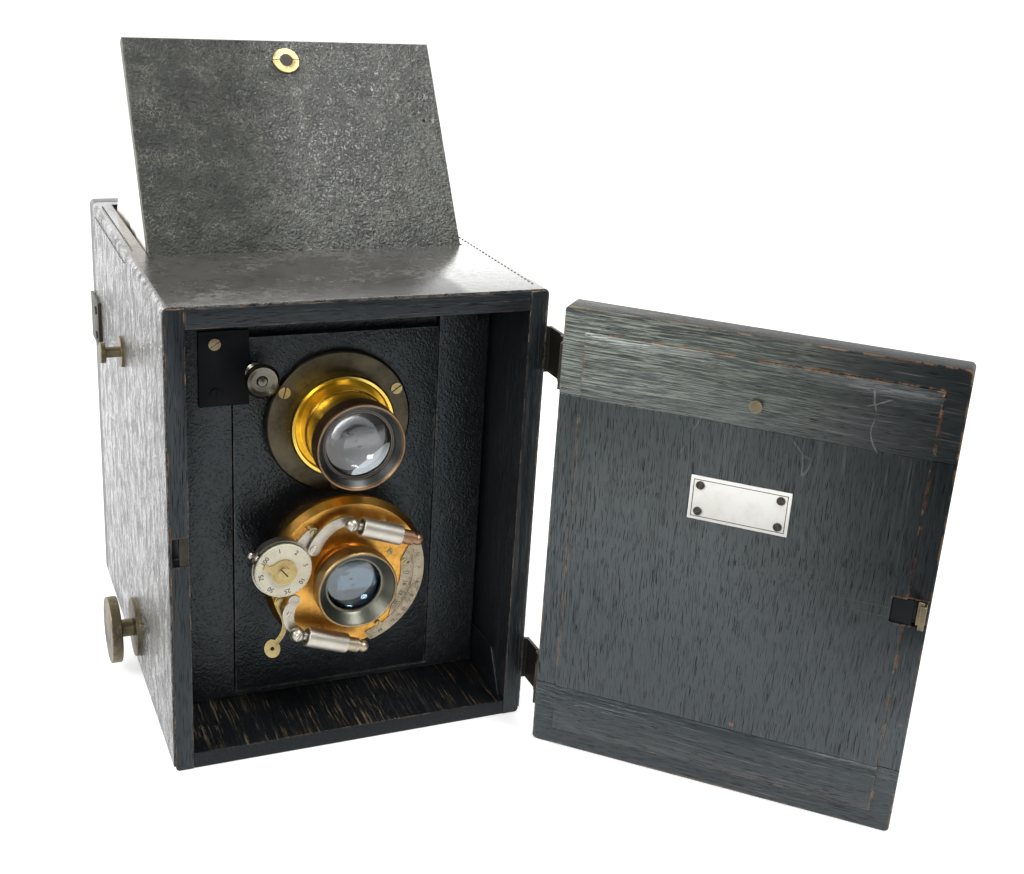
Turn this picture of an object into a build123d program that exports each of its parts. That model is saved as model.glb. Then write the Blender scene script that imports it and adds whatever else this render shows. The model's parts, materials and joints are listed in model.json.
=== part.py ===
from build123d import *
import os
from math import cos, degrees, pi, radians, sin

os.makedirs("parts", exist_ok=True)

# Box form twin-lens reflex plate camera, front door open and hood raised.
# Origin: mouth of the tripod bush, at the middle of the base's underside.
# +X is the user's left (the door hinge side seen from the front), +Y runs
# from the lenses to the plate, +Z is up.  Millimetres.

# ---------------------------------------------------------------- driving sizes
WIDTH = 152.0
HEIGHT = 194.0
FRONT_Y = -95.0
BACK_Y = 95.0
LEATHER = 0.8
WALL = 7.2
BASE_T = 7.0
DECK_T = 7.9
EDGE_R = 1.6

BOARD_Y = -58.0          # front face of the lens board
LENS_X = 0.6
VIEW_Z = 132.0
TAKE_Z = 69.2
BOARD_W = 86.6
BOARD_Z0 = 10.0
BOARD_Z1 = 169.5
BOARD_T = 4.8
RISE = 7.0

SHAFT_Y = -4.6           # focusing shaft, across the floor of the box
SHAFT_Z = 18.9
PINION_R = 5.0
PINION_TEETH = 10

DOOR_ANGLE = 135.8       # door swing from closed
DOOR_T = 11.2
DOOR_W = 151.2
DOOR_H = 193.2
DOOR_Z0 = 0.4
PIN_X = 78.7
PIN_Y = -106.6
PAD = 0.8

LID_LEAN = 33.4          # lean of the raised lid from upright
LID_L = 98.8
LID_W = 135.0
LID_T = 5.0
LID_PIVOT_Y = -17.2
LID_PIVOT_Z = 191.9
LID_PIVOT_IN = 1.5

BACK_PIN_X = 78.1
BACK_PIN_Y = 86.1

# ------------------------------------------------------------------ worked out
HALF_W = WIDTH / 2
SIDE_OUT = HALF_W - LEATHER
SIDE_IN = SIDE_OUT - WALL
TOP_Z = HEIGHT - LEATHER
SOFFIT_Z = TOP_Z - DECK_T
BODY_BACK = 86.0
DECK_BACK = -19.7
RAIL_Y = 80.3
RACK_Z = SHAFT_Z - PINION_R
RACK_PITCH = 2 * pi * PINION_R / PINION_TEETH
LOW = (Align.MIN, Align.MIN)
LOW3 = (Align.MIN, Align.MIN, Align.MIN)
ON_BASE = (Align.CENTER, Align.CENTER, Align.MIN)
ALONG_X = (0, 90, 0)


def facing(y):
    """Plane at a depth y that looks out of the front: local x, height, forward."""
    return Plane(origin=(0, y, 0), x_dir=(1, 0, 0), z_dir=(0, -1, 0))


def swung(angle):
    """Plane of the door's outer face at an opening angle: local (from pin, height, inward)."""
    a = radians(angle)
    return Plane(origin=(PIN_X, PIN_Y, 0), x_dir=(-cos(a), -sin(a), 0), z_dir=(-sin(a), cos(a), 0))


LENS = facing(BOARD_Y)
DOOR = swung(DOOR_ANGLE)
LID = Plane(
    origin=(0, LID_PIVOT_Y, LID_PIVOT_Z),
    x_dir=(1, 0, 0),
    z_dir=(0, -cos(radians(LID_LEAN)), sin(radians(LID_LEAN))),
)


def block(x, y, z, mode=Mode.ADD):
    """A block between pairs of limits, added to the open part."""
    with Locations((x[0], y[0], z[0])):
        Box(x[1] - x[0], y[1] - y[0], z[1] - z[0], align=LOW3, mode=mode)


def along_x(y, z, x, radius, mode=Mode.ADD):
    """A round bar or hole between two x limits."""
    with Locations(((x[0] + x[1]) / 2, y, z)):
        Cylinder(radius, x[1] - x[0], rotation=ALONG_X, mode=mode)


def turned(axis_z, profile):
    """A piece turned on a lens axis; profile is (radius, forward of the lens board) pairs."""
    with BuildPart() as piece:
        with BuildSketch(Plane.YZ.offset(LENS_X)):
            with BuildLine():
                Polyline([(BOARD_Y - forward, axis_z + r) for r, forward in profile], close=True)
            make_face()
        revolve(axis=Axis((LENS_X, 0, axis_z), (0, 1, 0)))
    return piece


def lens_glass(axis_z, radius, forward, thick):
    """A biconvex glass on a lens axis, its middle plane the given distance forward."""
    rim = 2.0
    sag = (thick - rim) / 2
    sphere_r = (radius ** 2 + sag ** 2) / (2 * sag)
    middle = Plane(origin=(LENS_X, BOARD_Y - forward, axis_z), x_dir=(1, 0, 0), z_dir=(0, -1, 0))
    with BuildPart() as glass:
        with Locations(middle):
            Cylinder(radius, thick)
        for side in (-1, 1):
            with Locations(middle.offset(side * (thick / 2 - sphere_r))):
                Sphere(sphere_r, mode=Mode.INTERSECT)
    return glass


def screw_heads(plane, spots, radius, height, slot_angle=35.0):
    """Slotted screw heads standing on a plane at (x, y, height above it) spots."""
    with BuildPart() as heads:
        with Locations(plane):
            for number, spot in enumerate(spots):
                top = (spot[0], spot[1], spot[2] + height)
                with Locations(spot):
                    Cylinder(radius, height, align=ON_BASE)
                with Locations(top):
                    turn = (0, 0, slot_angle + 41 * number)
                    Box(3 * radius, 0.28 * radius, height, rotation=turn, mode=Mode.SUBTRACT)
    return heads


def save(builder, name):
    builder.part.label = name
    export_step(builder.part, "parts/" + name + ".step")


# ==================================================================== the case
BUSH_R = 9.0
FOCUS_HOLE_R = 4.6
STUD_Y = 6.0
STUD_Z = 146.4
STUD_TUBE_R = 3.4
STUD_POCKET_R = 3.7
STRIKE_Z = (91.2, 103.2)
STRIKE_SLOT_X = -74.6
LID_PIN_R = 1.0


def side_board(side):
    """A side board with its outer long edges rounded; side is -1 or 1."""
    near = min(side * SIDE_IN, side * SIDE_OUT)
    with BuildPart() as board:
        with BuildSketch(facing(BODY_BACK)) as section:
            with Locations((near, 0)):
                Rectangle(WALL, TOP_Z, align=LOW)
            across = section.vertices().sort_by(Axis.X)
            outer = across[:2] if side < 0 else across[-2:]
            fillet(outer, EDGE_R)
        extrude(amount=BODY_BACK - FRONT_Y)
        along_x(LID_PIVOT_Y, LID_PIVOT_Z, sorted((side * SIDE_IN, side * 71.0)), LID_PIN_R, Mode.SUBTRACT)
    return board


side_board_left = side_board(-1)
with side_board_left:
    along_x(SHAFT_Y, SHAFT_Z, (-SIDE_OUT, -SIDE_IN), FOCUS_HOLE_R, Mode.SUBTRACT)
    along_x(STUD_Y, STUD_Z, (-SIDE_OUT, -SIDE_IN), STUD_TUBE_R, Mode.SUBTRACT)
    along_x(STUD_Y, STUD_Z, (-72.0, -SIDE_IN), STUD_POCKET_R, Mode.SUBTRACT)
    block((STRIKE_SLOT_X, -SIDE_IN), (FRONT_Y, -88), STRIKE_Z, Mode.SUBTRACT)
save(side_board_left, "side_board_left")

SHAFT_R = 2.5
side_board_right = side_board(1)
with side_board_right:
    along_x(SHAFT_Y, SHAFT_Z, (SIDE_IN, 72.2), SHAFT_R + 0.06, Mode.SUBTRACT)
save(side_board_right, "side_board_right")

with BuildPart() as base_board:
    block((-SIDE_IN, SIDE_IN), (FRONT_Y, BODY_BACK), (0, BASE_T))
    with Locations((0, 0, 0)):
        Cylinder(BUSH_R, BASE_T, align=ON_BASE, mode=Mode.SUBTRACT)
save(base_board, "base_board")

# The front deck, and the rail behind the lid
with BuildPart() as top_boards:
    block((-SIDE_IN, SIDE_IN), (FRONT_Y, DECK_BACK), (SOFFIT_Z, TOP_Z))
    block((-SIDE_IN, SIDE_IN), (RAIL_Y, BODY_BACK), (SOFFIT_Z, TOP_Z))
save(top_boards, "top_boards")

# Leather glued over the sides and top, stopping short of the front edge
LEATHER_FRONT = FRONT_Y + 0.4
ESCUTCHEON_R = 13.3
with BuildPart() as body_leather:
    with BuildSketch(facing(BODY_BACK)) as wrap:
        with Locations((0, HEIGHT / 2)):
            RectangleRounded(WIDTH, HEIGHT, EDGE_R + LEATHER)
        with Locations((0, TOP_Z / 2)):
            RectangleRounded(2 * SIDE_OUT, TOP_Z, EDGE_R, mode=Mode.SUBTRACT)
        with Locations((0, 0)):
            Rectangle(WIDTH, 2 * EDGE_R + 0.8, mode=Mode.SUBTRACT)
    extrude(amount=BODY_BACK - LEATHER_FRONT)
    block((-SIDE_IN, SIDE_IN), (DECK_BACK, RAIL_Y), (TOP_Z - 1, HEIGHT + 1), Mode.SUBTRACT)
    along_x(SHAFT_Y, SHAFT_Z, (-HALF_W - 1, -SIDE_OUT), FOCUS_HOLE_R, Mode.SUBTRACT)
    along_x(STUD_Y, STUD_Z, (-HALF_W - 1, -SIDE_OUT), STUD_TUBE_R, Mode.SUBTRACT)
save(body_leather, "body_leather")

# Brass tripod bush, 3/8 inch thread, let into the base
BUSH_THREAD_R = 4.76
with BuildPart() as tripod_bush:
    Cylinder(BUSH_R, BASE_T, align=ON_BASE)
    Cylinder(BUSH_THREAD_R, BASE_T, align=ON_BASE, mode=Mode.SUBTRACT)
save(tripod_bush, "tripod_bush")

# Strike plate of the door catch, let into the left front edge
with BuildPart() as strike_plate:
    block((-71.7, -68.2), (-94.8, -93.3), (STRIKE_Z[0] + 0.1, STRIKE_Z[1] - 0.1))
save(strike_plate, "strike_plate")

# Thin guide strips along the foot of both side boards, with sloped front ends
RAIL_T = 1.2
RAIL_TOP = 26.0
with BuildPart() as carriage_rails:
    for side in (-1, 1):
        with BuildSketch(Plane.YZ.offset(side * SIDE_IN)):
            with BuildLine():
                Polyline([(-91, BASE_T), (-80, RAIL_TOP), (20, RAIL_TOP), (20, BASE_T)], close=True)
            make_face()
        extrude(amount=-side * RAIL_T)
    for side in (-1, 1):
        along_x(SHAFT_Y, SHAFT_Z, sorted((side * 66, side * 69)), 5.2, Mode.SUBTRACT)
save(carriage_rails, "carriage_rails")

# --------------------------------------------------------- chambers and screen
BULKHEAD_Y = (8.0, 14.0)
SEPTUM_Z = (108.0, 111.5)
MIRROR_BASE = VIEW_Z - 32.0      # mirror face lies on z = y + MIRROR_BASE
MIRROR_Y = (16.0, 74.5)
MIRROR_T = 2.0
CHEEK_GAP = 3.0
SCREEN_Z = (177.0, 184.0)
with BuildPart() as chamber_partition:
    block((-SIDE_IN, SIDE_IN), BULKHEAD_Y, (RAIL_TOP, SCREEN_Z[0]))
    block((-44, 44), BULKHEAD_Y, (34, 103), Mode.SUBTRACT)
    block((-44, 44), BULKHEAD_Y, (116, 175), Mode.SUBTRACT)
    block((-SIDE_IN, SIDE_IN), (BULKHEAD_Y[1], RAIL_Y), SEPTUM_Z)
    for x in (-56.0, 50.0):
        with BuildSketch(Plane.YZ.offset(x)):
            with BuildLine():
                foot_y = SEPTUM_Z[1] - MIRROR_BASE + CHEEK_GAP
                Polyline(
                    [
                        (foot_y, SEPTUM_Z[1]),
                        (MIRROR_Y[1], SEPTUM_Z[1]),
                        (MIRROR_Y[1], MIRROR_Y[1] + MIRROR_BASE - CHEEK_GAP),
                    ],
                    close=True,
                )
            make_face()
        extrude(amount=6)
save(chamber_partition, "chamber_partition")

with BuildPart() as reflex_mirror:
    with BuildSketch(Plane.YZ.offset(-54)):
        with BuildLine():
            back = MIRROR_T * 2 ** 0.5
            Polyline(
                [
                    (MIRROR_Y[0], MIRROR_Y[0] + MIRROR_BASE),
                    (MIRROR_Y[1], MIRROR_Y[1] + MIRROR_BASE),
                    (MIRROR_Y[1], MIRROR_Y[1] + MIRROR_BASE - back),
                    (MIRROR_Y[0], MIRROR_Y[0] + MIRROR_BASE - back),
                ],
                close=True,
            )
        make_face()
    extrude(amount=108)
save(reflex_mirror, "reflex_mirror")

GLASS_T = 2.0
with BuildPart() as screen_frame:
    block((-SIDE_IN, SIDE_IN), (-19, 79.8), SCREEN_Z)
    block((-54, 54), (-7, 69), SCREEN_Z, Mode.SUBTRACT)
    block((-58, 58), (-11, 73), (SCREEN_Z[1] - 2.2, SCREEN_Z[1]), Mode.SUBTRACT)
save(screen_frame, "screen_frame")

with BuildPart() as ground_glass:
    block((-57.8, 57.8), (-10.8, 72.8), (SCREEN_Z[1] - 2.2, SCREEN_Z[1] - 2.2 + GLASS_T))
save(ground_glass, "ground_glass")

PLATE_Z = 66.0
with BuildPart() as plate_frame:
    block((-SIDE_IN, SIDE_IN), (66, 72), (BASE_T, SEPTUM_Z[0]))
    block((-50, 50), (66, 72), (PLATE_Z - 38, PLATE_Z + 38), Mode.SUBTRACT)
save(plate_frame, "plate_frame")

# Double dark slide for quarter plates, with its pull-out shutter edge and rim
SLIDE_X = 61.0
SLIDE_Z = (9.0, 107.4)
with BuildPart() as dark_slide:
    block((-SLIDE_X, SLIDE_X), (72.3, 83.8), SLIDE_Z)
    chamfer(edges().filter_by(Axis.Z), 1.0)
    block((-54, 54), (72.3, 75.3), (24.5, 107.4), Mode.SUBTRACT)
    block((-53.7, 53.7), (72.6, 74.0), (24.8, 107.4))
    block((-8, 8), (72.6, 77), (107.4, 107.9))
save(dark_slide, "dark_slide")

# ------------------------------------------------------ fittings on the outside
KNOB_BUSH_X = -77.6
SHAFT_BORE = SHAFT_R + 0.05
STUD_R = 2.3
with BuildPart() as side_bushes:
    along_x(SHAFT_Y, SHAFT_Z, (KNOB_BUSH_X, -HALF_W), ESCUTCHEON_R)
    along_x(SHAFT_Y, SHAFT_Z, (-HALF_W, -SIDE_IN), FOCUS_HOLE_R)
    along_x(SHAFT_Y, SHAFT_Z, (KNOB_BUSH_X, -SIDE_IN), SHAFT_BORE, Mode.SUBTRACT)
    along_x(STUD_Y, STUD_Z, (-77.2, -HALF_W), 6.7)
    along_x(STUD_Y, STUD_Z, (-HALF_W, -72.0), STUD_TUBE_R)
    along_x(STUD_Y, STUD_Z, (-77.2, -72.0), STUD_R + 0.05, Mode.SUBTRACT)
save(side_bushes, "side_bushes")

HINGE_H = 19.0
HINGE_GAP = 0.2
LEAF_T = 1.2
KNUCKLE_R = 2.1
PIN_R = 1.1
FRONT_HINGES = (17.0, 159.0)
BACK_HINGES = (30.5, 144.5)
BACK_KNUCKLE_R = 1.9
BACK_HINGE_PIN_R = 0.9
BODY_LEAF_X = PIN_X - 1.0


def thirds(z):
    """Heights of a hinge's three knuckles, from its lower end z."""
    step = HINGE_H / 3
    return [(z + k * step + HINGE_GAP / 2, z + (k + 1) * step - HINGE_GAP / 2) for k in range(3)]


def upright(x, y, z, radius, mode=Mode.ADD):
    """An upright round bar or hole between two heights."""
    with Locations((x, y, z[0])):
        Cylinder(radius, z[1] - z[0], align=ON_BASE, mode=mode)


# Hinge leaves fixed to the right side, and the clip at the left rear edge
CLIP_Z = (128.0, 150.0)
with BuildPart() as side_ironwork:
    for z in FRONT_HINGES:
        low, middle, high = thirds(z)
        block((BODY_LEAF_X, BODY_LEAF_X + LEAF_T), (PIN_Y, -93), (z, z + HINGE_H))
        block((HALF_W, BODY_LEAF_X + LEAF_T), (-94.4, -93), (z, z + HINGE_H))
        block((HALF_W, HALF_W + LEAF_T), (-93, -82), (z, z + HINGE_H))
        for part_z in ((z, low[1] + HINGE_GAP), (high[0] - HINGE_GAP, z + HINGE_H)):
            upright(PIN_X, PIN_Y, part_z, KNUCKLE_R + 0.3, Mode.SUBTRACT)
        upright(PIN_X, PIN_Y, middle, KNUCKLE_R)
        upright(PIN_X, PIN_Y, (z, z + HINGE_H), PIN_R, Mode.SUBTRACT)
    for z in BACK_HINGES:
        low, middle, high = thirds(z)
        block((HALF_W, HALF_W + 1.0), (74, BACK_PIN_Y), (z, z + HINGE_H))
        for part_z in ((z, low[1] + HINGE_GAP), (high[0] - HINGE_GAP, z + HINGE_H)):
            upright(BACK_PIN_X, BACK_PIN_Y, part_z, BACK_KNUCKLE_R + 0.3, Mode.SUBTRACT)
        block((HALF_W + 0.3, BACK_PIN_X), (BACK_PIN_Y - BACK_KNUCKLE_R, BACK_PIN_Y - 0.6), middle)
        upright(BACK_PIN_X, BACK_PIN_Y, middle, BACK_KNUCKLE_R)
        upright(BACK_PIN_X, BACK_PIN_Y, (z, z + HINGE_H), BACK_HINGE_PIN_R, Mode.SUBTRACT)
        block((HALF_W, HALF_W + 4), (BACK_PIN_Y + 0.05, BACK_PIN_Y + 3), low, Mode.SUBTRACT)
        block((HALF_W, HALF_W + 4), (BACK_PIN_Y + 0.05, BACK_PIN_Y + 3), high, Mode.SUBTRACT)
    block((-77.6, -HALF_W), (70, 84), CLIP_Z)
    block((-77.6, -76.4), (84, 93), CLIP_Z)
save(side_ironwork, "side_ironwork")

# Pins of the door, back and lid hinges
with BuildPart() as hinge_pins:
    for z in FRONT_HINGES:
        upright(PIN_X, PIN_Y, (z, z + HINGE_H), PIN_R)
    for z in BACK_HINGES:
        upright(BACK_PIN_X, BACK_PIN_Y, (z, z + HINGE_H), BACK_HINGE_PIN_R)
    for side in (-1, 1):
        along_x(LID_PIVOT_Y, LID_PIVOT_Z, sorted((side * 63.0, side * 71.0)), LID_PIN_R)
save(hinge_pins, "hinge_pins")

# Slotted screws of the hinge leaves and the clip
RIGHT_SIDE = Plane(origin=(HALF_W, 0, 0), x_dir=(0, 1, 0), z_dir=(1, 0, 0))
LEFT_SIDE = Plane(origin=(-HALF_W, 0, 0), x_dir=(0, -1, 0), z_dir=(-1, 0, 0))
leaf_spots = [(-87, z + dz, LEAF_T) for z in FRONT_HINGES for dz in (4.5, 14.5)]
leaf_spots += [(79.5, z + dz, 1.0) for z in BACK_HINGES for dz in (4.5, 14.5)]
clip_spots = [(-76, z, 1.6) for z in (133.0, 145.0)]
body_screws = screw_heads(RIGHT_SIDE, leaf_spots, 1.9, 0.7)
clip_screws = screw_heads(LEFT_SIDE, clip_spots, 1.9, 0.7)
with body_screws:
    add(clip_screws.part)
save(body_screws, "body_screws")

# ================================================================ lens carriage
STANDARD_X = 66.5
STANDARD_Z = (7.4, 183.0)
STANDARD_T = 9.0
POCKET_T = BOARD_T + 0.2
FOOT_TOP = 11.4
RACK_X = (-37.0, 31.0)
RACK_W = 6.0
RACK_Y = (-14.0, 34.0)
half_board = BOARD_W / 2
with BuildPart() as lens_standard:
    block((-STANDARD_X, STANDARD_X), (BOARD_Y, BOARD_Y + STANDARD_T), STANDARD_Z)
    pocket_x = (LENS_X - half_board - 0.4, LENS_X + half_board + 0.4)
    block(pocket_x, (BOARD_Y, BOARD_Y + POCKET_T), (BOARD_Z0 - 0.3, BOARD_Z1 + RISE + 0.5), Mode.SUBTRACT)
    for axis_z in (VIEW_Z, TAKE_Z):
        hole_z = (axis_z - 22, axis_z + 22 + RISE)
        block((LENS_X - 24, LENS_X + 24), (BOARD_Y, BOARD_Y + STANDARD_T), hole_z, Mode.SUBTRACT)
    block((-45, 45), (BOARD_Y + STANDARD_T, RACK_Y[1]), (STANDARD_Z[0], FOOT_TOP))
save(lens_standard, "lens_standard")

# Two brass racks on the foot, one gap of each under the middle of the shaft
RACK_ROOT = RACK_Z - 1.0
RACK_TIP = RACK_Z + 0.8
with BuildPart() as focus_racks:
    for x in RACK_X:
        block((x, x + RACK_W), RACK_Y, (FOOT_TOP, RACK_ROOT))
        count = int((RACK_Y[1] - RACK_Y[0]) / RACK_PITCH) - 1
        with BuildSketch(Plane.YZ.offset(x)):
            for k in range(-3, count - 3):
                y = SHAFT_Y + (k + 0.5) * RACK_PITCH
                with BuildLine():
                    Polyline(
                        [(y - 0.9, RACK_ROOT), (y - 0.3, RACK_TIP),
                         (y + 0.3, RACK_TIP), (y + 0.9, RACK_ROOT)],
                        close=True,
                    )
                make_face()
        extrude(amount=RACK_W)
save(focus_racks, "focus_racks")

# Plate that the rising front is clamped to, with its two screws
PLATE_X = (-56.5, -36.6)
CLAMP_Z = (142.4, 173.4)
PLATE_T = 2.0
with BuildPart() as clamp_plate:
    block(PLATE_X, (BOARD_Y - PLATE_T, BOARD_Y), CLAMP_Z)
plate_screws = screw_heads(LENS, [(-50.2, 168.2, PLATE_T), (-49.9, 147.6, PLATE_T)], 2.4, 0.6)
with clamp_plate:
    add(plate_screws.part)
save(clamp_plate, "clamp_plate")

# Leather bellows behind both lenses, each a pleated square tube
PLEATS = 9
PLEAT_IN = 4.0
SKIN = 1.0


def pleats(half_x, half_z, middle_z, inset):
    """A pleated square block from the lens carriage to the bulkhead."""
    start = BOARD_Y + STANDARD_T
    length = BULKHEAD_Y[0] - start
    with BuildPart() as folds:
        for k in range(2 * PLEATS + 1):
            shrink = inset + (PLEAT_IN if k % 2 else 0)
            with BuildSketch(Plane.XZ.offset(-(start + k * length / (2 * PLEATS)))):
                with Locations((LENS_X, middle_z)):
                    Rectangle(2 * (half_x - shrink), 2 * (half_z - shrink))
        loft(ruled=True)
    return folds


lower_folds = pleats(47.0, 37.5, 68.0, 0)
lower_hollow = pleats(47.0, 37.5, 68.0, SKIN)
upper_folds = pleats(47.0, 34.5, 142.0, 0)
upper_hollow = pleats(47.0, 34.5, 142.0, SKIN)
with BuildPart() as bellows:
    add(lower_folds.part)
    add(upper_folds.part)
    add(lower_hollow.part, mode=Mode.SUBTRACT)
    add(upper_hollow.part, mode=Mode.SUBTRACT)
save(bellows, "bellows")

# ================================================================= rising front
VIEW_TUBE_R = 17.9
TAKE_TUBE_R = 16.5
KNOB_X = -34.3
KNOB_Z = 155.8
KNOB_STEM_R = 1.8
with BuildPart() as lens_board:
    block((LENS_X - half_board, LENS_X + half_board), (BOARD_Y, BOARD_Y + BOARD_T), (BOARD_Z0, BOARD_Z1))
    with Locations(LENS):
        with Locations((LENS_X, VIEW_Z)):
            Cylinder(VIEW_TUBE_R + 0.2, 3 * BOARD_T, mode=Mode.SUBTRACT)
        with Locations((LENS_X, TAKE_Z)):
            Cylinder(TAKE_TUBE_R + 0.2, 3 * BOARD_T, mode=Mode.SUBTRACT)
        with Locations((KNOB_X, KNOB_Z)):
            Cylinder(KNOB_STEM_R + 0.06, 6.4, mode=Mode.SUBTRACT)
save(lens_board, "lens_board")

# Viewing lens: flange, barrel, front cell and glasses
FLANGE_R = 30.8
FLANGE_T = 3.4
viewing_flange = turned(
    VIEW_Z,
    [
        (VIEW_TUBE_R + 0.02, 0), (FLANGE_R, 0), (FLANGE_R, FLANGE_T - 0.8), (FLANGE_R - 0.9, FLANGE_T),
        (VIEW_TUBE_R + 0.02, FLANGE_T),
    ],
)
NICK_ANGLE = 137.0
NICK_AT = FLANGE_R - 0.7
with viewing_flange:
    with Locations(LENS):
        with Locations(Pos(LENS_X, VIEW_Z) * Rot(0, 0, NICK_ANGLE)):
            with Locations((NICK_AT, 0)):
                Box(5, 20, 20, align=(Align.MIN, Align.CENTER, Align.CENTER), mode=Mode.SUBTRACT)
save(viewing_flange, "viewing_flange")

viewing_barrel = turned(
    VIEW_Z,
    [
        (16.2, -20), (VIEW_TUBE_R, -20), (VIEW_TUBE_R, FLANGE_T), (22.2, FLANGE_T), (22.2, 8.6),
        (21.5, 9.4),
        (20.4, 9.4), (19.7, 7.8), (17.6, 7.2), (17.6, 14), (17.2, 14.4), (17.2, 27.6), (16.2, 27.6),
    ],
)
save(viewing_barrel, "viewing_barrel")

viewing_cell = turned(
    VIEW_Z,
    [
        (13.6, 21), (15.2, 21), (15.2, 27.7), (17.3, 27.7), (17.3, 25.5), (17.9, 25.5),
        (18.3, 26.2), (18.3, 33.4),
        (18.0, 34.0), (17.5, 34.0), (17.1, 33.4), (15.0, 31.0), (14.6, 30.2), (13.6, 30.0),
    ],
)
save(viewing_cell, "viewing_cell")
viewing_front_glass = lens_glass(VIEW_Z, 13.5, 27.6, 7.0)
viewing_rear_glass = lens_glass(VIEW_Z, 16.1, -14.0, 7.0)
with BuildPart() as viewing_lenses:
    add(viewing_front_glass.part)
    add(viewing_rear_glass.part)
save(viewing_lenses, "viewing_lenses")

# Taking lens in its between-lens shutter
CASE_FACE = 19.0
CASE_R = 32.4
BLADE_PIVOT_Z = TAKE_Z + 26.0
BLADE_PIN_R = 0.9
shutter_case = turned(
    TAKE_Z,
    [
        (15.0, -18), (TAKE_TUBE_R, -18), (TAKE_TUBE_R, 0), (28, 0), (28, 2.5), (24, 2.5),
        (24, 14.2), (34.6, 14.2),
        (34.6, 15.8), (CASE_R, CASE_FACE), (14.9, CASE_FACE), (14.3, 20.4), (15.2, 28.2),
        (13.6, 28.2), (13.6, 18.0),
        (31.2, 18.0), (31.2, 15.4), (15.0, 15.4),
    ],
)
with shutter_case:
    with Locations(LENS.offset(15.2)):
        with Locations((LENS_X, BLADE_PIVOT_Z)):
            Cylinder(BLADE_PIN_R, 3.0, align=ON_BASE)
save(shutter_case, "shutter_case")

taking_cell = turned(
    TAKE_Z,
    [
        (11.6, 27.6), (13.5, 27.6), (13.5, 28.4), (15.5, 28.4), (15.5, 25.6), (16.4, 25.6),
        (17.0, 26.4), (17.0, 33.5),
        (16.6, 34.0), (16.1, 34.0), (15.6, 33.2), (12.9, 29.6), (12.3, 28.9), (11.6, 28.7),
    ],
)
save(taking_cell, "taking_cell")
taking_front_glass = lens_glass(TAKE_Z, 13.4, 24.2, 6.4)
taking_rear_glass = lens_glass(TAKE_Z, 14.9, -13.0, 6.4)
with BuildPart() as taking_lenses:
    add(taking_front_glass.part)
    add(taking_rear_glass.part)
save(taking_lenses, "taking_lenses")

# Two shutter blades hung from one pin, each a half disc with its arm
BLADE_R = 14.5
BLADE_T = 0.4


def shutter_blade(side, forward):
    with BuildPart() as blade:
        with BuildSketch(LENS.offset(forward)):
            with Locations((LENS_X, TAKE_Z)):
                Circle(BLADE_R)
            with Locations((LENS_X - side * 1.4, TAKE_Z)):
                across = (Align.MAX, Align.CENTER) if side > 0 else (Align.MIN, Align.CENTER)
                Rectangle(40, 40, align=across, mode=Mode.SUBTRACT)
            with Locations((LENS_X + side * 1.1, TAKE_Z + 19)):
                Rectangle(5, 14)
            with Locations((LENS_X, BLADE_PIVOT_Z)):
                Circle(2.6)
                Circle(BLADE_PIN_R + 0.06, mode=Mode.SUBTRACT)
        extrude(amount=BLADE_T)
    return blade


shutter_blade_left = shutter_blade(-1, 15.7)
save(shutter_blade_left, "shutter_blade_left")
shutter_blade_right = shutter_blade(1, 16.6)
save(shutter_blade_right, "shutter_blade_right")

# Speed drum at the shutter's left edge, its ear, spindle and ball pin
DIAL_X = -28.4
DIAL_Z = 78.1
DIAL_R = 11.8
DRUM_R = 12.4
DRUM_TOP = 23.2
SPINDLE_R = 2.0
BALL_PIN_R = 1.6
DIAL_AT = 24.6
DIAL_T = 1.0
EAR = (-15.1, 91.9)
EAR_T = 3.2
NOTCH_ANGLE = 152.0
SPINDLE_TOP = DIAL_AT + DIAL_T + 0.2
with BuildPart() as dial_drum:
    with BuildSketch(Plane.YZ.offset(DIAL_X)):
        with BuildLine():
            drum_profile = [
                (0, CASE_FACE), (DRUM_R, CASE_FACE), (DRUM_R, DRUM_TOP), (DRUM_R - 1.0, DRUM_TOP),
                (DRUM_R - 1.0, CASE_FACE + 1.2), (SPINDLE_R, CASE_FACE + 1.2),
                (SPINDLE_R, SPINDLE_TOP), (0, SPINDLE_TOP),
            ]
            Polyline([(BOARD_Y - forward, DIAL_Z + r) for r, forward in drum_profile], close=True)
        make_face()
    revolve(axis=Axis((DIAL_X, 0, DIAL_Z), (0, 1, 0)))
    # notch in the wall, towards the upper left, with the ball pin in it
    with Locations(LENS.offset(CASE_FACE + 2.0)):
        with Locations(Pos(DIAL_X, DIAL_Z) * Rot(0, 0, NOTCH_ANGLE) * Pos(DRUM_R - 3, 0)):
            Box(8, 5, 10, align=(Align.MIN, Align.CENTER, Align.MIN), mode=Mode.SUBTRACT)
    with Locations(LENS.offset(CASE_FACE)):
        with Locations(Pos(DIAL_X, DIAL_Z) * Rot(0, 0, 46.5) * Pos(DRUM_R - 0.5, 0)):
            Box(6.6, 5.4, EAR_T, align=(Align.MIN, Align.CENTER, Align.MIN))
        with Locations(EAR):
            Cylinder(2.2, EAR_T, align=ON_BASE)
        with Locations(Pos(DIAL_X, DIAL_Z) * Rot(0, 0, NOTCH_ANGLE) * Pos(DRUM_R - 2, 0)):
            Box(4.4, 1.4, 2.0, align=(Align.MIN, Align.CENTER, Align.MIN))
        for along in (-1.2, 1.9):
            with Locations(Pos(DIAL_X, DIAL_Z, 2.2) * Rot(0, 0, NOTCH_ANGLE) * Pos(DRUM_R + along, 0)):
                Sphere(BALL_PIN_R)
save(dial_drum, "dial_drum")

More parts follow.
